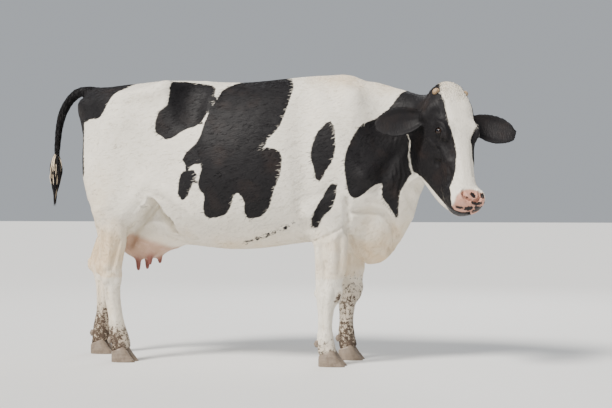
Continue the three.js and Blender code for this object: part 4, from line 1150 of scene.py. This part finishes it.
def unwrap(p, q, marks):
    """A place on a flat unwrap of the hide: the body, the head and each leg have an island."""

    def turn(up, across):
        return np.arctan2(up, across) / (2 * math.pi) + 0.5

    round_body = turn(-p[:, 1], p[:, 2] - AXIS_HEIGHT)
    body = np.stack([0.02 + 0.60 * np.clip((p[:, 0] + 0.95) / 2.0, 0, 1), 0.02 + 0.94 * round_body], 1)
    down = np.clip((q[:, 0] + 0.08) / 0.66, 0, 1)
    head = np.stack([0.64 + 0.33 * turn(q[:, 1], q[:, 2] + HEAD_AXIS), 0.50 + 0.46 * down], 1)
    column = 2.0 * (p[:, 0] > 0) + (p[:, 1] > 0)
    spin = np.zeros(len(p))
    for node in LEGS:
        low, high = (np.array(c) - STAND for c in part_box(node))
        mid = (low + high) / 2
        mine = (np.sign(mid[:2]) == np.sign(p[:, :2])).all(1)
        spin = np.where(mine, turn(p[:, 1] - mid[1], p[:, 0] - mid[0]), spin)
    legs = np.stack([0.64 + 0.085 * column + 0.07 * spin, 0.02 + 0.44 * np.clip(p[:, 2] / 0.8, 0, 1)], 1)
    place = np.where(marks[:, [HEAD]] + marks[:, [EAR]] > 0.5, head, body)
    return np.where(marks[:, [LEG]] > 0.5, legs, place)


def build_mesh(name, verts, tris, patch):
    """A smooth mesh of triangles, with a place on the unwrap for each vertex."""
    mesh = bpy.data.meshes.new(name)
    mesh.vertices.add(len(verts))
    mesh.vertices.foreach_set("co", verts.ravel())
    mesh.loops.add(3 * len(tris))
    mesh.loops.foreach_set("vertex_index", tris.ravel())
    mesh.polygons.add(len(tris))
    mesh.polygons.foreach_set("loop_start", np.arange(0, 3 * len(tris), 3))
    mesh.polygons.foreach_set("use_smooth", np.ones(len(tris), bool))
    layer = mesh.uv_layers.new(name="OFBake")
    layer.data.foreach_set("uv", patch[tris.ravel()].ravel())
    mesh.update(calc_edges=True)
    made = bpy.data.objects.new(name, mesh)
    bpy.context.scene.collection.objects.link(made)
    return made


# A tuft: its root is vertices 0 to 2, its middle 3 to 5, each with a ridge last, and its tip 6.
WEDGE = np.array([(0, 1, 2), (0, 3, 4), (0, 4, 1), (1, 4, 5), (1, 5, 2), (2, 5, 3), (2, 3, 0),
                  (3, 6, 4), (4, 6, 5), (5, 6, 3)])
TUFT_POINTS = 7
PATCH = np.array([(0, 0), (1, 0), (0.5, 0), (0, 0.5), (1, 0.5), (0.5, 0.5), (0.5, 1)]) * 0.003
ROOT_DEPTH = 0.0012
coat_finish = coat_material("coat_tufts", False)


def on_skin(spots):
    """The nearest places on the hide, and the way out of it there."""
    places, outs = np.empty_like(spots), np.empty_like(spots)
    for i, spot in enumerate(spots):
        place, out, _, _ = skin_tree.find_nearest(Vector(spot))
        places[i], outs[i] = place, out
    return places, outs


def grow(name, region, spacing, length, width, lift, seed, turn=0.25, way=None):
    """Lays tufts over the hide. region is the share of the coat on each face, and lift raises the tips."""
    rng = np.random.default_rng(seed)
    weight = areas * region
    count = int(weight.sum() / spacing**2)
    picked = rng.choice(len(areas), count, p=weight / weight.sum())
    mix = rng.dirichlet((1, 1, 1), count)
    roots = (corner[picked] * mix[:, :, None]).sum(1)
    marks = trait_means[picked]
    q = to_face(roots)
    lie = hair_way(roots, q, marks) if way is None else np.tile(np.asarray(way, float), (count, 1))
    lie = lie / np.linalg.norm(lie, axis=1)[:, None] + rng.normal(0, turn, (count, 3))
    roots, out = on_skin(roots)
    lie -= out * (lie * out).sum(1)[:, None]
    lie /= np.linalg.norm(lie, axis=1)[:, None] + 1e-9
    size = rng.uniform(0.7, 1.3, count)[:, None]
    across = np.cross(out, lie) * width * 0.5 * size
    middle, out_mid = on_skin(roots + lie * length * 0.5 * size)
    tip, out_tip = on_skin(middle + lie * length * 0.5 * size)
    thick = 0.24 * width
    sunk = 0.16 * width
    rise = lift * rng.uniform(0.4, 1.5, count)[:, None]
    base = roots - out * ROOT_DEPTH
    middle = middle + out_mid * rise * 0.45
    tip = tip + out_tip * rise
    low_middle = middle - out_mid * sunk
    verts = np.stack([base + across, base - across, base + out * thick + out * ROOT_DEPTH,
                      low_middle + across * 0.8, low_middle - across * 0.8, middle + out_mid * thick, tip], 1)
    tris = (WEDGE[None] + TUFT_POINTS * np.arange(count)[:, None, None]).reshape(-1, 3)
    patch = (unwrap(roots, q, marks)[:, None] + PATCH[None]).reshape(-1, 2)
    made = build_mesh(name, verts.reshape(-1, 3) + STAND, tris, patch)
    dark = black_at(roots)
    dark = np.where(marks[:, EAR] > 0.5, DEEP_EAR, dark)
    dark = np.where((marks[:, LEG] > 0.5) & (roots[:, 2] < WHITE_LEG), WHITE_PART, dark)
    dark = np.where(marks[:, TAIL] > 0.5, DEEP_TAIL, dark) + rng.normal(0, 0.0025, count)
    for label, value in (("black", dark), ("mud", marks[:, MUDDY]), ("fawn", marks[:, FAWN])):
        save_values(made, label, np.repeat(value, TUFT_POINTS))
    made.data.materials.append(coat_finish)
    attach(made, "root")


on_head_fan, on_ear, on_leg_fan, on_tail = (trait_means[:, [HEAD, EAR, LEG, TAIL]] > 0.5).T
dressed = (trait_means[:, BARE] < 0.3) & (trait_means[:, UDDER] < 0.4)
dressed &= np.min([np.linalg.norm(middles - eye, axis=1) for eye in EYES.values()], 0) > 0.030
on_body = dressed & ~(on_head_fan | on_ear | on_leg_fan | on_tail)
mx, my, mz = middles.T
# There are more tufts along the back and the belly, where they show in outline.
outline_share = 0.55 + 0.45 * np.maximum(ramp(0.75 - mz, 0, 0.12), ramp(mz, 1.34, 1.40))
forward = mx > 0.25
BODY_HAIR = {"length": 0.022, "width": 0.0026}
for side, chosen, seed in (("right", my < 0, 11), ("left", my >= 0, 21)):
    share = on_body * chosen * outline_share
    grow("coat_barrel_" + side, share * ~forward, 0.0100, lift=0.0005, seed=seed, **BODY_HAIR)
    grow("coat_shoulders_" + side, share * forward, 0.0092, lift=0.0006, seed=seed + 1, **BODY_HAIR)
grow("coat_legs", dressed * on_leg_fan, 0.0076, length=0.014, width=0.0024, lift=0.0006, seed=13)
ms, mw, mn = face_middles.T
face_share = dressed * on_head_fan * ~on_ear * (ms < 0.48)
grow("coat_face", face_share, 0.0054, length=0.011, width=0.0018, lift=0.0003, seed=14, turn=0.15)
poll = dressed * on_head_fan * (1 - ramp(ms, 0.01, 0.10)) * (mn > -0.12)
poll = poll * (1 - ramp(np.abs(mw), 0.045, 0.075))
grow("coat_poll", poll, 0.0046, length=0.020, width=0.0024, lift=0.0042, seed=15, turn=0.5)
# On the ears they follow the rim, where the skin turns away from the flat of the ear.
flat_way = np.zeros((len(areas), 3))
for side in (-1, 1):
    mine = on_ear & (mw * side > 0)
    spots = middles[mine] - middles[mine].mean(0)
    flat_way[mine] = np.linalg.svd(spots, full_matrices=False)[2][2]
fan_out /= np.linalg.norm(fan_out, axis=1)[:, None] + 1e-12
rim = 1 - ramp(np.abs((fan_out * flat_way).sum(1)), 0.45, 0.75)
grow("coat_ears", dressed * on_ear * rim, 0.0026, length=0.016, width=0.0016, lift=0.0012, seed=16, turn=0.2)
hem = on_leg_fan & (mz < 0.085)
HEM_HAIR = {"length": 0.018, "width": 0.0032, "lift": 0.0015, "way": (0.35, 0, -1.0)}
grow("coat_coronets", hem * 1.0, 0.0042, seed=17, **HEM_HAIR)
TAIL_HAIR = {"length": 0.028, "width": 0.0034, "lift": 0.0030, "turn": 0.15, "way": (-0.1, 0, -1.0)}
grow("coat_tail", on_tail * 1.0, 0.0062, seed=18, **TAIL_HAIR)

# ---- Tail switch ----
# Long locks of coarse dark hair grow round the end of the tail and hang together. Each lock swells
# from its root, sways a little and thins out to its tip, and a few of them are pale.
rng = np.random.default_rng(31)
LOCKS, STEPS, SIDES_OF_LOCK = 230, 9, 4
DOCK_END = np.array([-0.900, 0.0, 0.990])
DOCK_RADIUS = 0.011
LOWEST = 0.775  # height of the lowest tips
verts, tris, patch, shade = [], [], [], []
for lock in range(LOCKS):
    spin = rng.uniform(0, 2 * math.pi)
    share = rng.uniform(0, 1)
    above = 0.055 * rng.uniform(-0.2, 1.0)
    top = DOCK_END + (DOCK_RADIUS * math.cos(spin), DOCK_RADIUS * math.sin(spin), above)
    spread_out = 0.021 * math.sqrt(share)
    bottom = LOWEST + 0.11 * share * rng.uniform(0.2, 1) + 0.02 * rng.uniform(-0.4, 1)
    thick = rng.uniform(0.0022, 0.0040)
    first = len(verts)
    sway = rng.uniform(-0.006, 0.006, 2)
    for step in range(STEPS):
        t = step / (STEPS - 1)
        swell = math.sin(math.pi * min(1, t * 1.15) ** 0.8) * spread_out + DOCK_RADIUS * (1 - t)
        z = top[2] + (bottom - top[2]) * t
        core_x = DOCK_END[0] - 0.010 * t + sway[0] * math.sin(5 * t)
        core_y = -0.006 * t + sway[1] * math.sin(4 * t + 1)
        twist = spin + 0.5 * t
        here = np.array((core_x + swell * math.cos(twist), core_y + swell * math.sin(twist), z))
        size = thick * (1 - t) ** 0.6 * (0.7 + 0.6 * math.sin(math.pi * t)) + 0.0002
        for k in range(SIDES_OF_LOCK):
            a = 2 * math.pi * k / SIDES_OF_LOCK
            verts.append(here + (size * math.cos(a), size * math.sin(a), 0))
            u, v = 0.90 + 0.02 * math.cos(spin), 0.25 + 0.02 * math.sin(spin)
            patch.append((u + 0.003 * k / 3, v + 0.003 * t))
            shade.append(0.02 + 0.02 * math.sin(3 * spin) - 0.04 * (share > 0.95))
    for step in range(STEPS - 1):
        for k in range(SIDES_OF_LOCK):
            a = first + step * SIDES_OF_LOCK + k
            b = first + step * SIDES_OF_LOCK + (k + 1) % SIDES_OF_LOCK
            tris += [(a, a + SIDES_OF_LOCK, b), (b, a + SIDES_OF_LOCK, b + SIDES_OF_LOCK)]
    last = first + (STEPS - 1) * SIDES_OF_LOCK
    tris += [(first, first + 1, first + 2), (first, first + 2, first + 3)]
    tris += [(last, last + 2, last + 1), (last, last + 3, last + 2)]
switch = build_mesh("switch_hair", np.array(verts) + STAND, np.array(tris), np.array(patch))
save_values(switch, "black", shade)
save_values(switch, "mud", np.zeros(len(verts)))
save_values(switch, "fawn", np.full(len(verts), 0.8))
switch.data.materials.append(coat_finish)
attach(switch, "root")
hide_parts("tail_switch")

# ---- Camera, floor and light ----
# The cow stands on a pale studio floor. The camera is at the height of its belly, level, and before
# its right side. A warm sun comes over the camera, with a lamp on either side and a cool sky.
bpy.ops.mesh.primitive_plane_add(size=60, location=(0, 20.0, 0))
floor = bpy.context.object
floor.name = "floor"
paint, shader, start = new_material("floor_paint")
place = start.node("ShaderNodeTexCoord", out=3)
tone = (start.noise(place, 1.2, 3) * 0.25).mix((0.78, 0.775, 0.76, 1), (0.70, 0.695, 0.68, 1))
feed(start.tree, shader, Base_Color=tone, Roughness=0.6 + start.noise(place, 9, 3) * 0.2)
floor.data.materials.append(paint)

CAMERA_PLACE = np.array((1.6625, -6.4355, 0.785)) + (*STAND[:2], 0)
CAMERA_TURN = math.radians(11)
bpy.ops.object.camera_add(location=CAMERA_PLACE, rotation=(math.pi / 2, 0, CAMERA_TURN))
camera = bpy.context.object
camera.data.sensor_width = 36
camera.data.lens = 77.41  # millimetres
bpy.context.scene.camera = camera
SUN_WAY = (3.4, 5.0, -6.2)
SUN_COLOUR = (1.0, 0.965, 0.91)
bpy.ops.object.light_add(type="SUN", location=(-3.0, -5.0, 6.0))
key = bpy.context.object
key.data.energy = 6.0
key.data.angle = 0.30  # radians, so that the edges of its shadows are soft
key.data.color = SUN_COLOUR
key.rotation_euler = Vector(SUN_WAY).to_track_quat("-Z", "Y").to_euler()
LAMPS = [  # (place, size, power)
    ((4.5, -4.5, 2.0), 2.5, 40),
    ((0.5, 4.5, 3.6), 3.0, 90),
]
for place, size, watts in LAMPS:
    bpy.ops.object.light_add(type="AREA", location=place)
    lamp = bpy.context.object
    lamp.data.size = size
    lamp.data.energy = watts
    lamp.rotation_euler = (Vector((0, 0, 0.9)) - Vector(place)).to_track_quat("-Z", "Y").to_euler()
SKY_COLOUR = (0.86, 0.91, 0.97, 1)
world = bpy.data.worlds.new("studio")
world.use_nodes = True
sky = world.node_tree.nodes["Background"].inputs
sky["Color"].default_value = SKY_COLOUR
sky["Strength"].default_value = 0.50
bpy.context.scene.world = world
